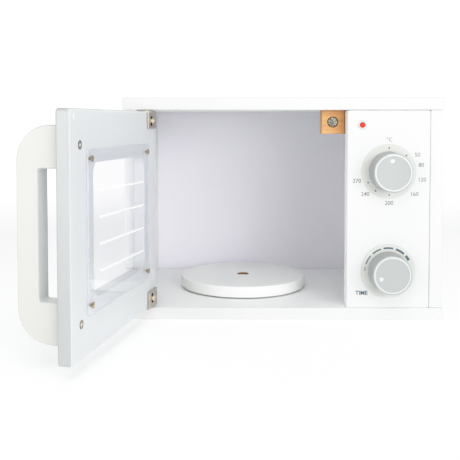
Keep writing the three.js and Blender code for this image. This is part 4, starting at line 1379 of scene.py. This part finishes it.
class MICROWAVE_OT_fasteners(PieceMaker, bpy.types.Operator):
    """Cross-head screws, hinge pins and hinge washers."""

    bl_idname = "microwave.fasteners"
    bl_label = "Screws and pins"

    def execute(self, context):
        door, pane, hinge = self.settings.door, self.settings.pane, self.settings.hinge
        look = self.settings.screw
        for number in range(1, 7):
            node = f"back_screw_{number}"
            x, _, z = Box(node).middle
            place = Place((x, Box("back_panel").high[1], z), UP, RIGHT, IN)
            self.screw(node, place, look.back, CASE, 0.3 * number)
        x, y, _ = Box("catch_screw").middle
        place = Place((x, y, Box("catch_block").low[2]), IN, RIGHT, -UP)
        self.screw("catch_screw", place, look.catch, CASE, 0.5)

        pivot, right, inward = door_axes(door)
        face = door.thickness - door.hinge_depth
        panel = Box("door_panel")
        middle, half_door = panel.middle[2], (panel.high[2] - panel.low[2]) / 2

        def on_door(across, height, depth):
            spot = pivot + across * right + (middle + height) * UP + (face + depth) * inward
            return Place(spot, UP, right, inward)

        near = door.window_from_hinge - pane.lap_hinge - door.hinge_inset + pane.screw_inset
        far = door.width - door.hinge_inset - door.window_from_latch + pane.lap_latch - pane.screw_inset
        rise = half_door - door.window_from_end + pane.lap_end - pane.screw_rise
        seat = pane.gap * 2 + pane.thickness
        rows = ((near, rise, 0.2), (far, rise, 0.9), (near, -rise, 0.5), (far, -rise, 1.2))
        for number, (across, height, turn) in enumerate(rows, 1):
            self.screw(f"pane_screw_{number}", on_door(across, height, seat), look.pane, DOOR, turn)

        slot = hinge.leaf_inset - door.hinge_inset + hinge.slot_inset
        from_end = hinge.leaf_height / 2 - (hinge.proud - hinge.plate) / 2
        across = door.width - door.hinge_inset - self.settings.handle.from_latch
        sunk = self.settings.handle.height / 2 - look.handle_inset
        for name, side in (("upper", 1), ("lower", -1)):
            place = on_door(slot, side * (half_door - from_end), hinge.gap * 2 + hinge.plate)
            # Hinge screws take the lighter tone as painted highlight.
            self.screw(f"hinge_screw_{name}", place, look.hinge, DOOR, 0.15, finish="bright_screw")
            # Handle screws take the darker tone as painted shade.
            place = on_door(across, side * sunk, look.proud)
            self.screw(f"handle_screw_{name}", place, look.handle, DOOR, 0.1 * side, True, "dark_screw")
            self.pin(name)
        return {"FINISHED"}

    def screw(self, node, place, sizes, body, turn, sunk=False, finish="screw"):
        """A screw with a cross in its head.

        A pan head is a low wall and a dome whose height is 0.45 + 0.55 * sqrt(1 - (r / R) ^ 2) of the head's.
        A sunk head is a cone under a nearly flat top. The cross is two bars with soft sides, cut into the
        head and deepest in the middle.
        """
        look = self.settings.screw
        head, height, shank, length = sizes
        if sunk:
            base, crown, wall, swell = -height, 0, -0.3 * MM, 0.12 * MM
        else:
            base, crown, wall, swell = 0, height, 0.45 * height, 0.55 * height
        radii = head * 0.97 * np.sin(np.linspace(1, 0, 24) * math.pi / 2)
        top = crown - swell * (1 - np.sqrt(1 - (radii / head) ** 2))
        points = [
            (0, -length),
            (shank, -length + shank / 0.7),
            (shank, base),
            (head, wall if sunk else base),
            (head, max(wall, top[0] - 0.05 * MM)),
            (radii[0], top[0]),
        ]
        lower = rounded_line(points, [0.1 * MM, 0.05 * MM, 0.05 * MM, 0.02 * MM], 3)
        profile = np.concatenate([lower, np.stack([radii, top], axis=1)[1:]])
        cos, sin = math.cos(turn), math.sin(turn)
        wide, far, soft = look.slot * head, look.arm * head, head * 0.09
        depth = min(look.depth * head, 0.75 * height)

        def bar(near, end):
            narrow = np.clip((wide - near) / soft + 0.5, 0, 1)
            return narrow * np.clip((far - end) / soft + 0.5, 0, 1)

        def cross(across, along, high):
            a = np.abs(across * cos + along * sin)
            b = np.abs(along * cos - across * sin)
            cut = np.maximum(bar(b, a), bar(a, b)) * (1 - 0.4 * np.hypot(a, b) / far)
            return np.where(high > top[0] - 0.01 * MM, -depth * np.clip(cut, 0, 1), 0)

        shell = turned(profile, look.facets, place, "pole", "pole", cross)
        self.piece(f"{node}_crosshead", shell, finish, body, node, smooth=40)

    def pin(self, name):
        """A plain pin with rounded ends, and the thin washer round it."""
        hinge, part = self.settings.hinge, Box(f"hinge_pin_{name}")
        low, high, radius = part.low[2], part.high[2], part.radius
        place = LEVEL.at(part.middle[0], part.middle[1], 0)
        shell = rod([(0, low), (radius, low), (radius, high), (0, high)], hinge.pin_edge, LITTLE, place)
        self.piece(f"hinge_pin_{name}_turned", shell, "screw", CASE, f"hinge_pin_{name}")
        inner = radius + hinge.washer_play
        self.ring(f"hinge_washer_{name}", "turned", "nylon", inner, hinge.washer_edge, SMALL, place)


class MICROWAVE_OT_hidden(PieceMaker, bpy.types.Operator):
    """Wood finish for the dowels inside the boards."""

    bl_idname = "microwave.hidden"
    bl_label = "Dowels"

    def execute(self, context):
        for node in frame["nodes"].values():
            if not node.hide_render:
                node.data.materials.clear()
                node.data.materials.append(self.finish("dowel"))
        return {"FINISHED"}


class MICROWAVE_OT_stage(PieceMaker, bpy.types.Operator):
    """Pale floor, soft lights and the camera. All places and sizes are in metres, and angles in degrees."""

    bl_idname = "microwave.stage"
    bl_label = "Stage"

    lights = {
        "front": ((0.65, -2.0, 0.45), 0.6),
        "side": ((1.3, -1.7, 0.6), 1.0),
        "high": ((0.0, -1.6, 1.6), 1.2),
        "left": ((-1.3, -1.7, 0.5), 1.0),
        "top": ((0.0, -0.3, 1.7), 1.0),
    }
    lit = (0, 0, 0.1)
    camera_place = (-0.04502, -0.8045, 0.19233)
    camera_tilt, camera_turn = -2.591, 0.508
    camera_sensor = 36
    floor_line = ((-6, 0), (7, 0), (7, 6))
    floor_bend, floor_half_width = 2, 8

    def execute(self, context):
        stage, scene = self.settings.stage, bpy.context.scene
        self.floor()
        scene.world = bpy.data.worlds.new("white_room")
        scene.world.use_nodes = True
        room = scene.world.node_tree.nodes["Background"]
        room.inputs["Color"].default_value = (1, 1, 1, 1)
        room.inputs["Strength"].default_value = stage.world
        self.film(scene.view_settings)
        for name, (place, size) in self.lights.items():
            self.light(name + "_light", getattr(stage, name), place, size)

        camera = bpy.data.objects.new("camera", bpy.data.cameras.new("camera"))
        scene.collection.objects.link(camera)
        camera.data.lens, camera.data.sensor_width = stage.lens, self.camera_sensor
        camera.data.shift_y, camera.data.clip_start = stage.shift, 0.01
        camera.location = self.camera_place
        camera.rotation_euler = (math.radians(90 + self.camera_tilt), 0, math.radians(self.camera_turn))
        scene.camera = camera
        return {"FINISHED"}

    def film(self, view):
        """A film that holds highlights back: x up to the knee, then x - c * (x - knee) ^ 2 as far as white.

        The curve is set on the share x / white, and c is chosen so that white comes out as 1.
        """
        stage = self.settings.stage
        view.view_transform, view.look, view.use_curve_mapping = "Standard", "None", True
        past = stage.white - stage.knee
        hold = (past - (1 - stage.knee)) / past**2
        mapping = view.curve_mapping
        mapping.white_level = (stage.white,) * 3
        for x in np.linspace(0, stage.white, 26)[1:-1]:
            mapping.curves[3].points.new(x / stage.white, x - hold * max(0, x - stage.knee) ** 2)
        mapping.update()

    def floor(self):
        """A sweep: a line that runs level, turns up through a quarter circle and rises, carried sideways."""
        line = rounded_line(self.floor_line, self.floor_bend, 24)
        sides = np.array([[-self.floor_half_width], [self.floor_half_width]])
        points = LEVEL(sides, line[:, 0], line[:, 1])
        index = np.arange(2 * len(line)).reshape(2, -1)
        faces = np.stack([index[0, :-1], index[1, :-1], index[1, 1:], index[0, 1:]], axis=-1)
        mesh = bpy.data.meshes.new("floor_sweep")
        mesh.from_pydata(points.reshape(-1, 3).tolist(), [], faces.tolist())
        mesh.shade_smooth()
        mesh.materials.append(self.finish("floor"))
        floor = bpy.data.objects.new("floor_sweep", mesh)
        bpy.context.scene.collection.objects.link(floor)

    def light(self, name, power, place, size):
        """A square soft light that looks at the part."""
        lamp = bpy.data.lights.new(name, "AREA")
        lamp.energy, lamp.size = power, size
        light = bpy.data.objects.new(name, lamp)
        bpy.context.scene.collection.objects.link(light)
        x, y, z = np.subtract(self.lit, place)
        light.location = place
        light.rotation_euler = (math.atan2(math.hypot(x, y), -z), 0, math.atan2(-x, y))


OPERATORS = (
    MICROWAVE_OT_boards,
    MICROWAVE_OT_door,
    MICROWAVE_OT_pane,
    MICROWAVE_OT_handle,
    MICROWAVE_OT_hinges,
    MICROWAVE_OT_turntable,
    MICROWAVE_OT_knobs,
    MICROWAVE_OT_dials,
    MICROWAVE_OT_indicator,
    MICROWAVE_OT_catch,
    MICROWAVE_OT_fasteners,
    MICROWAVE_OT_hidden,
    MICROWAVE_OT_stage,
)


class MICROWAVE_PT_panel(bpy.types.Panel):
    """Lists the pieces and their settings in the sidebar."""

    bl_idname = "MICROWAVE_PT_panel"
    bl_label = "Toy microwave"
    bl_space_type = "VIEW_3D"
    bl_region_type = "UI"
    bl_category = "Microwave"

    def draw(self, context):
        for operator in OPERATORS:
            self.layout.operator(operator.bl_idname)
        settings = context.scene.toy_microwave
        for name, group in SETTINGS.items():
            section = self.layout.box()
            section.label(text=group.__doc__)
            for key in group.__annotations__:
                section.prop(getattr(settings, name), key)


CLASSES = (*SETTINGS.values(), MicrowaveSettings, *OPERATORS, MICROWAVE_PT_panel)


def register():
    for item in CLASSES:
        bpy.utils.register_class(item)
    bpy.types.Scene.toy_microwave = PointerProperty(type=MicrowaveSettings)


def unregister():
    del bpy.types.Scene.toy_microwave
    for item in reversed(CLASSES):
        bpy.utils.unregister_class(item)


def main():
    register()
    for operator in OPERATORS:
        group, name = operator.bl_idname.split(".")
        getattr(getattr(bpy.ops, group), name)()


if __name__ == "__main__":
    main()
